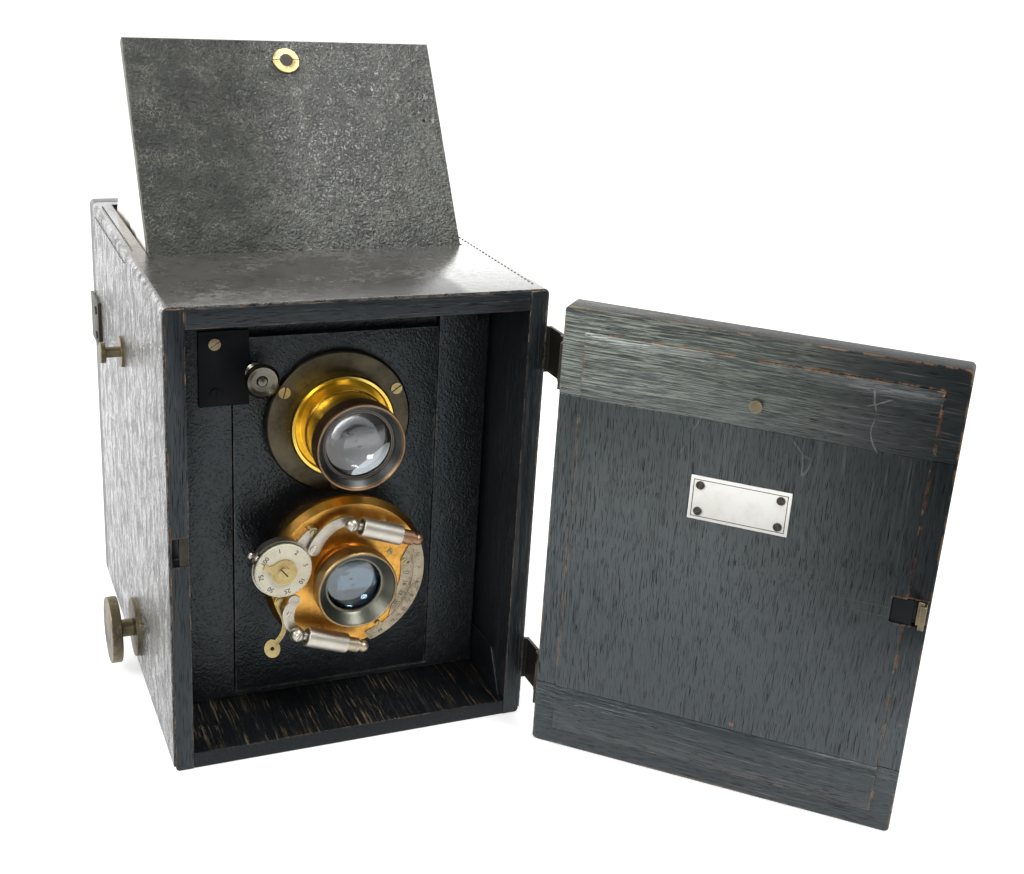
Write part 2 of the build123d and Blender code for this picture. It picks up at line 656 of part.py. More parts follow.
with BuildPart() as speed_dial:
    with BuildSketch(LENS.offset(DIAL_AT)):
        with Locations((DIAL_X, DIAL_Z)):
            Circle(DIAL_R)
            Circle(SPINDLE_R + 0.06, mode=Mode.SUBTRACT)
    extrude(amount=DIAL_T)
    chamfer(edges().filter_by(GeomType.CIRCLE).sort_by(Axis.Y)[:1], 0.25)
save(speed_dial, "speed_dial")

# Pointer collar over the dial, with its slotted screw
POINTER_AT = SPINDLE_TOP
POINTER_R = 5.4
POINTER_SCREW_R = 2.4
with BuildPart() as dial_pointer:
    with BuildSketch(LENS.offset(POINTER_AT)):
        with Locations((DIAL_X, DIAL_Z)):
            Circle(POINTER_R)
        with Locations(Pos(DIAL_X, DIAL_Z) * Rot(0, 0, 158)):
            Polygon((4.4, -2.4), (6.6, -0.8), (8.9, -1.3), (8.6, 1.3), (6.4, 0.9), (4.6, 2.2), align=None)
    extrude(amount=1.0)
    with Locations(LENS.offset(POINTER_AT + 1.0)):
        with Locations((DIAL_X, DIAL_Z)):
            Cylinder(POINTER_SCREW_R, 0.8, align=ON_BASE)
    with Locations(LENS.offset(POINTER_AT + 1.4)):
        with Locations(Pos(DIAL_X, DIAL_Z) * Rot(0, 0, -50)):
            Box(6, 0.6, 1, align=ON_BASE, mode=Mode.SUBTRACT)
save(dial_pointer, "dial_pointer")

# Aperture scales: an outer arc plate, and an inner one tapering to a point
SCALE_T = 0.6
OUTER_SCALE_R = (29.0, 33.6)
INNER_SCALE_R = (23.5, 28.7)


def arc_plate(inner, outer):
    """Flat plate between two arcs, each given as its radius, first angle and last angle."""
    middle = (LENS_X, TAKE_Z)
    with BuildPart() as plate:
        with BuildSketch(LENS.offset(CASE_FACE)):
            with BuildLine():
                low_arc = CenterArc(middle, inner[0], inner[1], inner[2] - inner[1])
                high_arc = CenterArc(middle, outer[0], outer[1], outer[2] - outer[1])
                Line(low_arc @ 0, high_arc @ 0)
                Line(low_arc @ 1, high_arc @ 1)
            make_face()
        extrude(amount=SCALE_T)
    return plate


scale_plates = arc_plate((OUTER_SCALE_R[0], -74, 21), (OUTER_SCALE_R[1], -72, 24))
inner_scale = arc_plate((INNER_SCALE_R[0], -20, 10), (INNER_SCALE_R[1], -50, 22))
with scale_plates:
    fillet(edges().filter_by(Axis.Y), 0.9)
    add(inner_scale.part)
save(scale_plates, "scale_plates")

# Air cylinders: each a tube on a post, closed by a stepped and rounded hose nipple
CYL_ANGLE = -19.5
CYL_AT = 27.8
CYL_R = 4.2
CYL_BORE = 3.3
BALL_R = 3.1
ROD_R = 1.9
UPPER_BALL = (-0.6, 96.4)
LOWER_BALL = (-23.1, 49.5)
CYL_START = 4.0
CYL_END = 22.2
NIPPLE_STEP = 27.4
NIPPLE_END = 31.8
NIPPLE_BORE = 0.8


def along_cylinder(ball):
    """Plane square to an air cylinder's axis, at its ball joint."""
    a = radians(CYL_ANGLE)
    return Plane(origin=(ball[0], BOARD_Y - CYL_AT, ball[1]), x_dir=(0, -1, 0), z_dir=(cos(a), 0, sin(a)))


def stage(plane, start, end, radius, mode=Mode.ADD):
    """One turned step along an air cylinder."""
    with Locations(plane.offset(start)):
        Cylinder(radius, end - start, align=ON_BASE, mode=mode)


def air_cylinder(ball, post):
    """Tube, nipple and the post it stands on, post being how far along the tube it is."""
    axis_plane = along_cylinder(ball)
    foot = axis_plane.from_local_coords(Vector(0, 0, post))
    with BuildPart() as tube:
        stage(axis_plane, CYL_START, CYL_END, CYL_R)
        fillet(tube.edges().filter_by(GeomType.CIRCLE), 0.35)
        stage(axis_plane, CYL_END, NIPPLE_STEP, 3.1)
        stage(axis_plane, NIPPLE_STEP, NIPPLE_END - 1.5, 2.3)
        with Locations(axis_plane.offset(NIPPLE_END - 1.8)):
            Sphere(2.5)
        with Locations(LENS.offset(CASE_FACE)):
            with Locations((foot.X, foot.Z)):
                Cylinder(1.7, CYL_AT - CASE_FACE - CYL_BORE - 0.3, align=ON_BASE)
        stage(axis_plane, CYL_START - 1, CYL_END - 2, CYL_BORE, Mode.SUBTRACT)
        stage(axis_plane, CYL_END - 3, NIPPLE_END + 3, NIPPLE_BORE, Mode.SUBTRACT)
    return tube


upper_cylinder = air_cylinder(UPPER_BALL, 18.0)
lower_cylinder = air_cylinder(LOWER_BALL, 13.0)
with BuildPart() as shutter_cylinders:
    add(upper_cylinder.part)
    add(lower_cylinder.part)
save(shutter_cylinders, "shutter_cylinders")


def piston(ball):
    """Piston, rod and slotted ball end."""
    axis_plane = along_cylinder(ball)
    with BuildPart() as rod:
        with Locations(axis_plane):
            Sphere(BALL_R)
        stage(axis_plane, 1.0, 14.0, ROD_R)
        stage(axis_plane, 14.0, 17.0, CYL_BORE - 0.06)
        with Locations(Pos(ball[0], BOARD_Y - CYL_AT - BALL_R, ball[1])):
            Box(1.9 * BALL_R, 1.4, 0.6, rotation=(0, -55, 0), mode=Mode.SUBTRACT)
    return rod


upper_piston = piston(UPPER_BALL)
save(upper_piston, "upper_piston")
lower_piston = piston(LOWER_BALL)
save(lower_piston, "lower_piston")

# Flat nickel levers; each ends in an eye under its ball joint
LEVER_AT = 23.4
LEVER_T = 1.0
STUD_PIN_R = 0.9
UPPER_PIVOT = (-15.3, 85.2)
LOWER_PIVOT = (-25.7, 57.5)


def lever(points, eyes, pivot, head_r):
    """A curved strap with round eyes, and a pivot screw standing through it."""
    with BuildPart() as strap:
        with BuildSketch(LENS.offset(LEVER_AT)):
            with BuildLine():
                left = Spline(*[(x - dx, z - dz) for x, z, dx, dz in points])
                right = Spline(*[(x + dx, z + dz) for x, z, dx, dz in points])
                Line(left @ 0, right @ 0)
                Line(left @ 1, right @ 1)
            make_face()
            for x, z, r in eyes:
                with Locations((x, z)):
                    Circle(r)
        extrude(amount=LEVER_T)
        with Locations(LENS.offset(LEVER_AT + LEVER_T)):
            with Locations(pivot):
                Cylinder(head_r, 0.9, align=ON_BASE)
        with Locations(LENS.offset(LEVER_AT + LEVER_T + 0.5)):
            with Locations(Pos(*pivot) * Rot(0, 0, 60)):
                Box(3 * head_r, 0.5, 1, align=ON_BASE, mode=Mode.SUBTRACT)
        # pivot stud down to the case
        with Locations(LENS.offset(CASE_FACE + 0.1)):
            with Locations(pivot):
                Cylinder(STUD_PIN_R, LEVER_AT - CASE_FACE, align=ON_BASE)
    return strap


upper_lever = lever(
    [(-15.3, 85.2, -2.3, 1.1), (-11.4, 91.6, -1.9, 1.5), (-6.4, 95.4, -0.8, 2.1), (-1.0, 96.6, 0.0, 1.9)],
    [(-15.3, 85.2, 2.6), (-0.6, 96.4, 2.4)],
    UPPER_PIVOT,
    2.0,
)
save(upper_lever, "upper_lever")

lower_lever = lever(
    [(-23.4, 63.6, -2.3, -1.0), (-25.8, 58.4, -2.5, 0.0),
     (-25.7, 54.0, -2.2, -0.3), (-23.1, 49.6, -1.7, -0.9)],
    [(-23.5, 63.3, 2.5), (-23.1, 49.5, 2.2)],
    LOWER_PIVOT,
    1.1,
)
save(lower_lever, "lower_lever")

# Brass release lever with an oval finger eye
RELEASE_PIVOT = (-28.8, 61.8)
with BuildPart() as release_lever:
    with BuildSketch(LENS.offset(CASE_FACE + 0.4)):
        with BuildLine():
            near = Spline((-29.9, 61.8), (-28.9, 56.0), (-27.5, 51.0), (-28.7, 46.6), (-33.2, 42.2))
            far = Spline((-27.9, 61.8), (-27.0, 56.0), (-25.5, 51.0), (-26.5, 46.0), (-30.0, 41.4))
            Line(near @ 0, far @ 0)
            Line(near @ 1, far @ 1)
        make_face()
        with Locations(RELEASE_PIVOT):
            Circle(2.0)
        with Locations(Pos(-31.7, 40.2) * Rot(0, 0, 15)):
            Ellipse(3.3, 4.4)
            Circle(0.9, mode=Mode.SUBTRACT)
    extrude(amount=1.0)
    with Locations(LENS.offset(CASE_FACE + 1.4)):
        with Locations(RELEASE_PIVOT):
            Cylinder(1.5, 0.7, align=ON_BASE)
save(release_lever, "release_lever")

# Small slotted screws: three in the flange, one in the drum's ear, four on the case
flange_spots = [
    (LENS_X + 27.4 * cos(radians(a)), VIEW_Z + 27.4 * sin(radians(a)), FLANGE_T) for a in (28, 148, 268)
]
case_spots = [(25.3, 72.9, CASE_FACE + SCALE_T), (14.4, 44.6, CASE_FACE + SCALE_T), (19.1, 77.8, CASE_FACE)]
lens_screws = screw_heads(LENS, flange_spots, 2.4, 0.5)
ear_screw = screw_heads(LENS, [(*EAR, CASE_FACE + EAR_T)], 1.5, 0.7, 75)
case_screws = screw_heads(LENS, case_spots, 1.2, 0.5)
with lens_screws:
    add(ear_screw.part)
    add(case_screws.part)
save(lens_screws, "lens_screws")

# Clamp knob of the rising front: dished button on a stem with a collar
with BuildPart() as clamp_knob:
    with BuildSketch(Plane.YZ.offset(KNOB_X)):
        with BuildLine():
            profile = [(0, -3.0), (KNOB_STEM_R, -3.0), (KNOB_STEM_R, 2.1), (4.2, 2.1),
                       (4.2, 3.4), (2.6, 4.2),
                       (2.3, 10.5), (5.4, 12.2), (7.0, 13.4), (7.0, 14.2), (5.9, 15.2),
                       (4.2, 14.6), (2.4, 14.4),
                       (1.7, 15.0), (0, 15.3)]
            Polyline([(BOARD_Y - forward, KNOB_Z + r) for r, forward in profile], close=True)
        make_face()
    revolve(axis=Axis((KNOB_X, 0, KNOB_Z), (0, 1, 0)))
save(clamp_knob, "clamp_knob")

# ==================================================================== focusing
KNOB_R = 15.0
KNOB_FACE_X = -88.4
KNOB_BACK_X = -83.8
with BuildPart() as focus_knob:
    along_x(SHAFT_Y, SHAFT_Z, (KNOB_FACE_X, KNOB_BACK_X), KNOB_R)
    fillet(edges().filter_by(GeomType.CIRCLE), 0.5)
    along_x(SHAFT_Y, SHAFT_Z, (KNOB_BACK_X, KNOB_BUSH_X - 0.2), 4.0)
    along_x(SHAFT_Y, SHAFT_Z, (KNOB_BACK_X - 3, KNOB_BUSH_X), SHAFT_R, Mode.SUBTRACT)
save(focus_knob, "focus_knob")

with BuildPart() as focus_shaft:
    along_x(SHAFT_Y, SHAFT_Z, (KNOB_BACK_X - 3, 72.0), SHAFT_R)
    for x in RACK_X:
        with BuildSketch(Plane.YZ.offset(x + 0.2)):
            with Locations((SHAFT_Y, SHAFT_Z)):
                Circle(PINION_R - 1.0)
            for tooth in range(PINION_TEETH):
                with Locations(Pos(SHAFT_Y, SHAFT_Z) * Rot(0, 0, -90 + tooth * 360 / PINION_TEETH)):
                    Polygon((3.6, -1.0), (5.8, -0.32), (5.8, 0.32), (3.6, 1.0), align=None)
        extrude(amount=RACK_W - 0.4)
save(focus_shaft, "focus_shaft")

# Spring stud on the left side, with its inner collar in the pocket
with BuildPart() as side_stud:
    along_x(STUD_Y, STUD_Z, (-85.4, -83.2), 4.5)
    fillet(edges().filter_by(GeomType.CIRCLE), 0.4)
    along_x(STUD_Y, STUD_Z, (-83.2, -68.4), STUD_R)
    along_x(STUD_Y, STUD_Z, (-69.5, -68.4), STUD_POCKET_R - 0.4)
save(side_stud, "side_stud")

# ======================================================================== hood
CATCH_AT = 87.6
CATCH_X = 1.0
with BuildPart() as hood_lid:
    with BuildSketch(LID.offset(LID_PIVOT_IN - LID_T)):
        with Locations((0, -LID_PIVOT_IN)):
            Rectangle(LID_W, LID_L, align=(Align.CENTER, Align.MIN))
        with Locations((CATCH_X, CATCH_AT)):
            Circle(3.7, mode=Mode.SUBTRACT)
    extrude(amount=LID_T)
    chamfer(edges().group_by(Axis.Z)[-1], 0.4)
    along_x(LID_PIVOT_Y, LID_PIVOT_Z, (-LID_W / 2, -62.9), LID_PIN_R + 0.06, Mode.SUBTRACT)
    along_x(LID_PIVOT_Y, LID_PIVOT_Z, (62.9, LID_W / 2), LID_PIN_R + 0.06, Mode.SUBTRACT)
    with Locations(LID.offset(LID_PIVOT_IN)):
        with Locations((60, 60)):
            Cylinder(0.7, 3.0, mode=Mode.SUBTRACT)
save(hood_lid, "hood_lid")

with BuildPart() as lid_catch_ring:
    with BuildSketch(LID.offset(LID_PIVOT_IN)):
        with Locations((CATCH_X, CATCH_AT)):
            Circle(5.8)
    extrude(amount=0.9)
    chamfer(edges().group_by(Axis.Y)[0], 0.2)
    with BuildSketch(LID.offset(LID_PIVOT_IN - LID_T)):
        with Locations((CATCH_X, CATCH_AT)):
            Circle(3.7)
    extrude(amount=LID_T)
    with BuildSketch(LID.offset(LID_PIVOT_IN - LID_T - 1)):
        with Locations((CATCH_X, CATCH_AT)):
            Circle(2.9)
    extrude(amount=LID_T + 3, mode=Mode.SUBTRACT)
    with Locations(LID.offset(LID_PIVOT_IN + 0.5)):
        with Locations((CATCH_X, CATCH_AT)):
            Box(14, 0.9, 1, align=ON_BASE, mode=Mode.SUBTRACT)
save(lid_catch_ring, "lid_catch_ring")

with BuildPart() as lid_catch_button:
    with BuildSketch(LID.offset(LID_PIVOT_IN - LID_T - 1.3)):
        with Locations((CATCH_X, CATCH_AT)):
            Circle(2.8)
    extrude(amount=LID_T + 1.3 + 0.6)
    with BuildSketch(LID.offset(LID_PIVOT_IN - LID_T - 1.3)):
        with Locations((CATCH_X, CATCH_AT)):
            Circle(3.9)
    extrude(amount=0.9)
save(lid_catch_button, "lid_catch_button")

# Soft leather gussets between the lid's edges and the sides of the opening
GUSSET_LOW = 186.5
GUSSET_REAR = 78.0

with BuildPart() as hood_gussets:
    lean = radians(LID_LEAN)
    inner = LID_T - LID_PIVOT_IN + 0.3
    foot_point = (
        LID_PIVOT_Y + inner * cos(lean) + 5 * sin(lean),
        LID_PIVOT_Z - inner * sin(lean) + 5 * cos(lean),
    )
    tip_point = (foot_point[0] + (LID_L - 10) * sin(lean), foot_point[1] + (LID_L - 10) * cos(lean))
    start_point = (foot_point[0] + 1, GUSSET_LOW)
    rear_low = (GUSSET_REAR, GUSSET_LOW)
    rear_point = (GUSSET_REAR, GUSSET_LOW + 5)
    for x in (-66.9, 65.7):
        with BuildSketch(Plane.YZ.offset(x)):
            with BuildLine():
                Polyline([start_point, foot_point, tip_point, rear_point, rear_low], close=True)
            make_face()
        extrude(amount=1.2)
save(hood_gussets, "hood_gussets")

# ======================================================================== door
DOOR_U0 = 2.7
DOOR_U1 = DOOR_U0 + DOOR_W
DOOR_Z1 = DOOR_Z0 + DOOR_H
CLEAT_LOW = 28.7
CLEAT_HIGH = 158.0
PAD_U = (11.6, 145.4)
PAD_Z = (8.4, 184.4)
LATCH_Z = (91.7, 102.3)
CORNER_R = 2.0


def door_slab(z_from, z_to, rounded):
    """A board of the door between two heights, with its share of the raised pad."""
    with BuildPart() as slab:
        with BuildSketch(DOOR.offset(LEATHER)) as outline:
            with Locations((DOOR_U0, z_from)):
                Rectangle(DOOR_W, z_to - z_from, align=LOW)
            if rounded == "top":
                fillet(outline.vertices().group_by(Axis.Y)[-1], CORNER_R)
            if rounded == "bottom":
                fillet(outline.vertices().group_by(Axis.Y)[0], CORNER_R)
        extrude(amount=DOOR_T - LEATHER)
        low, high = max(z_from, PAD_Z[0]), min(z_to, PAD_Z[1])
        with BuildSketch(DOOR.offset(DOOR_T)):
            with Locations((PAD_U[0], low)):
                Rectangle(PAD_U[1] - PAD_U[0], high - low, align=LOW)
        extrude(amount=PAD)
    return slab


door_board = door_slab(CLEAT_LOW, CLEAT_HIGH, "none")
with door_board:
    with Locations(DOOR.offset(8.0)):
        with Locations((140.0, LATCH_Z[0], 0)):
            Box(20, LATCH_Z[1] - LATCH_Z[0], 10, align=LOW3, mode=Mode.SUBTRACT)
save(door_board, "door_board")

door_cleats = door_slab(DOOR_Z0, CLEAT_LOW - 0.05, "bottom")
upper_cleat = door_slab(CLEAT_HIGH + 0.05, DOOR_Z1, "top")
with door_cleats:
    add(upper_cleat.part)
save(door_cleats, "door_cleats")

with BuildPart() as door_leather:
    with BuildSketch(DOOR):
        with Locations(((DOOR_U0 + DOOR_U1) / 2, (DOOR_Z0 + DOOR_Z1) / 2)):
            RectangleRounded(DOOR_W, DOOR_H, CORNER_R)
    extrude(amount=LEATHER)
save(door_leather, "door_leather")

# Blank ivory plate, its border line and text left out
PLATE_U = 78.5
PLATE_MID_Z = 126.4
PLATE_FACE = DOOR_T + PAD + 0.8
with BuildPart() as nameplate:
    with BuildSketch(DOOR.offset(DOOR_T + PAD)):
        with Locations((PLATE_U, PLATE_MID_Z)):
            Rectangle(39.0, 17.8)
    extrude(amount=0.8)
save(nameplate, "nameplate")

plate_corners = [(PLATE_U + i * 15.6, PLATE_MID_Z + j * 5.4, PLATE_FACE) for i in (-1, 1) for j in (-1, 1)]
door_screws = screw_heads(DOOR, plate_corners, 1.7, 0.4)
with BuildPart(DOOR) as stop_pin:
    with Locations((80.2, 167.4, DOOR_T + PAD)):
        Cylinder(1.3, 1.6, align=ON_BASE)
    with Locations((80.2, 167.4, DOOR_T + PAD + 1.6)):
        Cylinder(2.4, 0.9, align=ON_BASE)
with door_screws:
    add(stop_pin.part)
save(door_screws, "door_screws")

with BuildPart(DOOR) as latch_plate:
    with Locations((140.2, LATCH_Z[0] + 0.2, 8.0)):
        Box(8.0, LATCH_Z[1] - LATCH_Z[0] - 0.4, 3.4, align=LOW3)
save(latch_plate, "latch_plate")

# Sliding hook bolt, drawn back as when the door is open
with BuildPart(DOOR) as latch_bolt:
    height = LATCH_Z[1] - LATCH_Z[0] - 0.8
    for u, length, v, depth in ((149.6, 3.3, 8.2, 2.9), (151.7, 1.2, 11.0, 3.9), (150.7, 1.2, 13.7, 1.2)):
        with Locations((u, LATCH_Z[0] + 0.4, v)):
            Box(length, height, depth, align=LOW3)
save(latch_bolt, "latch_bolt")

with BuildPart(DOOR) as door_hinge_leaves:
    for z in FRONT_HINGES:
        low, middle, high = thirds(z)
        with Locations((DOOR_U0 - LEAF_T, z, 0)):
            Box(LEAF_T, HINGE_H, DOOR_T - 0.4, align=LOW3)
        for part_z in (low, high):
            with Locations((0, part_z[0], 0)):
                Cylinder(KNUCKLE_R, part_z[1] - part_z[0], rotation=(-90, 0, 0), align=ON_BASE)
            with Locations((0, part_z[0], -0.6)):
                Box(DOOR_U0 - 0.4, part_z[1] - part_z[0], 1.2, align=LOW3)
        with Locations((0, middle[0] - HINGE_GAP, 0)):
            cut = middle[1] - middle[0] + 2 * HINGE_GAP
            Cylinder(KNUCKLE_R + 0.2, cut, rotation=(-90, 0, 0), align=ON_BASE, mode=Mode.SUBTRACT)
        with Locations((0, z - 1, 0)):
            Cylinder(PIN_R + 0.06, HINGE_H + 2, rotation=(-90, 0, 0), align=ON_BASE, mode=Mode.SUBTRACT)
save(door_hinge_leaves, "door_hinge_leaves")

# ==================================================================== back door
BACK_FACE = 86.2
with BuildPart() as back_door:
    with BuildSketch(facing(BACK_Y)):
        with Locations((0, HEIGHT / 2 + 0.3)):
            RectangleRounded(WIDTH, HEIGHT - 0.6, EDGE_R + LEATHER)
    extrude(amount=BACK_Y - BACK_FACE)
    for z in BACK_HINGES:
        low, middle, high = thirds(z)
        block((HALF_W, HALF_W + 1.0), (BACK_PIN_Y + 0.3, 94.0), (z, z + HINGE_H))
        for part_z in (low, high):
            upright(BACK_PIN_X, BACK_PIN_Y, part_z, BACK_KNUCKLE_R)
            block((HALF_W + 0.3, BACK_PIN_X), (BACK_PIN_Y + 0.5, BACK_PIN_Y + BACK_KNUCKLE_R), part_z)
        cut_z = (middle[0] - HINGE_GAP, middle[1] + HINGE_GAP)
        upright(BACK_PIN_X, BACK_PIN_Y, cut_z, BACK_KNUCKLE_R + 0.2, Mode.SUBTRACT)
        upright(BACK_PIN_X, BACK_PIN_Y, (z - 1, z + HINGE_H + 1), BACK_HINGE_PIN_R + 0.06, Mode.SUBTRACT)
save(back_door, "back_door")
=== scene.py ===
"""Box-form twin-lens reflex camera: looks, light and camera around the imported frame.

Lengths are metres in the row frame: +Z up, -Y out of the front, +X the hinge side.
"""
import json
import math
import random

import bpy
from mathutils import Matrix, Vector


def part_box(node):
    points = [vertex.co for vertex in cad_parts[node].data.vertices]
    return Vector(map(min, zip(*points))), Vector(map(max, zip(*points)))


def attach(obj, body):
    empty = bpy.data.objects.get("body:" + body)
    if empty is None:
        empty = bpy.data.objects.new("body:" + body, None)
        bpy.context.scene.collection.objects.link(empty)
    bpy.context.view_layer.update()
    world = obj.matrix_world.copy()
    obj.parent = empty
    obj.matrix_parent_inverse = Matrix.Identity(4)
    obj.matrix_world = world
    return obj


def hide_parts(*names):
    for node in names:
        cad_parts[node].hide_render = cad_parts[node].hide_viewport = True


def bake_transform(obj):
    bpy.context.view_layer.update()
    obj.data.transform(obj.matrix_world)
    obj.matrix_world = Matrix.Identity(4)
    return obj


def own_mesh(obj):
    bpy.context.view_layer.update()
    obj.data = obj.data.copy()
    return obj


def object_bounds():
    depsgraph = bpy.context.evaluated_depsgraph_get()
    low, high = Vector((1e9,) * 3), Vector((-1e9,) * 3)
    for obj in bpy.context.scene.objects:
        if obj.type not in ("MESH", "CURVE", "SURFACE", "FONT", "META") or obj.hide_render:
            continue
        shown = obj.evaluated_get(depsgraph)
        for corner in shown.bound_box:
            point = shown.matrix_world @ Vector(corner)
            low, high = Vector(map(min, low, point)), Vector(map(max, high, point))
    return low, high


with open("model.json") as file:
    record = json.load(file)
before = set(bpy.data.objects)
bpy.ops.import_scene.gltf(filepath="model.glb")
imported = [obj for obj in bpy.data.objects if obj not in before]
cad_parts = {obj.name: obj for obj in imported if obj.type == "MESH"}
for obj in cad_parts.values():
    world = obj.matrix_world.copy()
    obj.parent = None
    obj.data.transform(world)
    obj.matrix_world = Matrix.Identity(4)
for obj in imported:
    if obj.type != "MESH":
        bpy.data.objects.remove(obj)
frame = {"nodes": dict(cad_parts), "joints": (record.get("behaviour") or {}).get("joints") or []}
CAD_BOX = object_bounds()
MM = 0.001
UP = Vector((0, 0, 1))
random.seed(7)

# ------------------------------------------------------------------ driving sizes
# Read from the frame, so that the looks follow the CAD.
BODY_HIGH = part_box("body_leather")[1]
HALF_W = BODY_HIGH.x
TOP_Z = BODY_HIGH.z
BOARD_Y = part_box("lens_board")[0].y
FLANGE_LOW, FLANGE_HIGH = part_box("viewing_flange")
CASE_LOW, CASE_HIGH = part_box("shutter_case")
LENS_X = (FLANGE_LOW.x + FLANGE_HIGH.x) / 2
VIEW = (LENS_X, (FLANGE_LOW.z + FLANGE_HIGH.z) / 2)
TAKE = (LENS_X, (CASE_LOW.z + CASE_HIGH.z) / 2)
DOOR_BOARD_LOW, DOOR_BOARD_HIGH = (corner.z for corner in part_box("door_board"))


def joint(name):
    """A joint's entry in the frame."""
    return next(j for j in frame["joints"] if j["name"] == name)


def plane(origin, across, out):
    """Matrix whose local x runs across, local z points out, and local y completes it."""
    x = Vector(across).normalized()
    z = Vector(out).normalized()
    y = z.cross(x)
    m = Matrix((x, y, z)).transposed().to_4x4()
    m.translation = Vector(origin)
    return m


# Local axes: the door's are (from the pin, height, inward), the lid's (across, up the lid, outward)
# and the lens board's (across, height, forward).
DOOR_PIN = Vector(joint("front_door")["pos_m"])
DOOR_ALONG = Vector(joint("door_latch")["axis"])
DOOR_IN = Vector((DOOR_ALONG.y, -DOOR_ALONG.x, 0))
DOOR = plane((DOOR_PIN.x, DOOR_PIN.y, 0), DOOR_ALONG, DOOR_IN)
LID_PIN = Vector(joint("hood_lid_turn")["pos_m"])
LID_OUT = -Vector(joint("lid_button_push")["axis"])
LID = plane(LID_PIN, (1, 0, 0), LID_OUT)
LENS = plane((0, BOARD_Y, 0), (1, 0, 0), (0, -1, 0))


# ================================================================ material nodes
class Graph:
    """Adds nodes to one tree; each method returns its new node's output socket."""

    def __init__(self, tree, coordinate):
        self.tree = tree
        self.position = tree.nodes.new("ShaderNodeTexCoord").outputs[coordinate]

    def put(self, socket, value):
        """Links a socket to another one, or gives it a plain value."""
        if isinstance(value, bpy.types.NodeSocket):
            self.tree.links.new(value, socket)
        elif isinstance(value, (tuple, list)) and len(value) == 3 and socket.type == "RGBA":
            socket.default_value = (*value, 1)
        else:
            socket.default_value = value

    def vector(self, op, a, b):
        n = self.tree.nodes.new("ShaderNodeVectorMath")
        n.operation = op
        self.put(n.inputs[0], a)
        self.put(n.inputs[3 if op == "SCALE" else 1], b)
        return n.outputs["Value" if op in ("DOT_PRODUCT", "DISTANCE") else "Vector"]

    def math(self, op, a, b=0.0, clamp=False):
        n = self.tree.nodes.new("ShaderNodeMath")
        n.operation = op
        n.use_clamp = clamp
        self.put(n.inputs[0], a)
        self.put(n.inputs[1], b)
        return n.outputs[0]

    def times(self, a, b, clamp=False):
        return self.math("MULTIPLY", a, b, clamp)

    def plus(self, a, b):
        return self.math("ADD", a, b)

    def minus(self, a, b):
        return self.math("SUBTRACT", a, b)

    def larger(self, a, b):
        return self.math("MAXIMUM", a, b)

    def total(self, *values):
        result = values[0]
        for v in values[1:]:
            result = self.plus(result, v)
        return result

    def rise(self, value, low, high):
        """0 below low, 1 above high, straight in between; low may be the larger."""
        return self.times(self.minus(value, low), 1.0 / (high - low), clamp=True)

    def parts(self, value):
        """The x, y and z of a vector."""
        n = self.tree.nodes.new("ShaderNodeSeparateXYZ")
        self.put(n.inputs[0], value)
        return n.outputs

    def joined(self, *values):
        """A vector of two or three numbers."""
        n = self.tree.nodes.new("ShaderNodeCombineXYZ")
        for socket, value in zip(n.inputs, values):
            self.put(socket, value)
        return n.outputs[0]

    def stretched(self, scale, where=None):
        """Position multiplied per axis, to stretch a pattern."""
        return self.vector("MULTIPLY", where or self.position, scale)

    def noise(self, scale, detail=3.0, rough=0.5, where=None):
        n = self.tree.nodes.new("ShaderNodeTexNoise")
        self.put(n.inputs["Vector"], where or self.position)
        n.inputs["Scale"].default_value = scale
        n.inputs["Detail"].default_value = detail
        n.inputs["Roughness"].default_value = rough
        return n.outputs["Fac"]

    def cells(self, scale, where=None, feature="F1", smooth=None):
        """Distance to the middle of a cell, or to its edge."""
        n = self.tree.nodes.new("ShaderNodeTexVoronoi")
        n.feature = "SMOOTH_F1" if smooth else feature
        if smooth:
            n.inputs["Smoothness"].default_value = smooth
        self.put(n.inputs["Vector"], where or self.position)
        n.inputs["Scale"].default_value = scale
        return n.outputs["Distance"]

    def warped(self, scale, amount):
        """Position pushed about by noise."""
        n = self.tree.nodes.new("ShaderNodeTexNoise")
        self.put(n.inputs["Vector"], self.position)
        n.inputs["Scale"].default_value = scale
        n.inputs["Detail"].default_value = 2
        shift = self.vector("SUBTRACT", n.outputs["Color"], (0.5, 0.5, 0.5))
        return self.vector("ADD", self.position, self.vector("SCALE", shift, amount))

    def ramp(self, value, *stops):
        """Grey ramp; stops are (place, brightness)."""
        n = self.tree.nodes.new("ShaderNodeValToRGB")
        self.put(n.inputs[0], value)
        for element, (place, bright) in zip(n.color_ramp.elements, stops):
            element.position = place
            element.color = (bright, bright, bright, 1)
        return n.outputs["Color"]

    def fade_in(self, value, low, high, top=1.0):
        """0 up to low, rising to top at high."""
        return self.ramp(value, (low, 0.0), (high, top))

    def fade_out(self, value, low, high):
        """1 up to low, falling to 0 at high."""
        return self.ramp(value, (low, 1.0), (high, 0.0))

    def mix(self, amount, a, b):
        n = self.tree.nodes.new("ShaderNodeMix")
        n.data_type = "RGBA"
        self.put(n.inputs["Factor"], amount)
        self.put(n.inputs["A"], a)
        self.put(n.inputs["B"], b)
        return n.outputs["Result"]


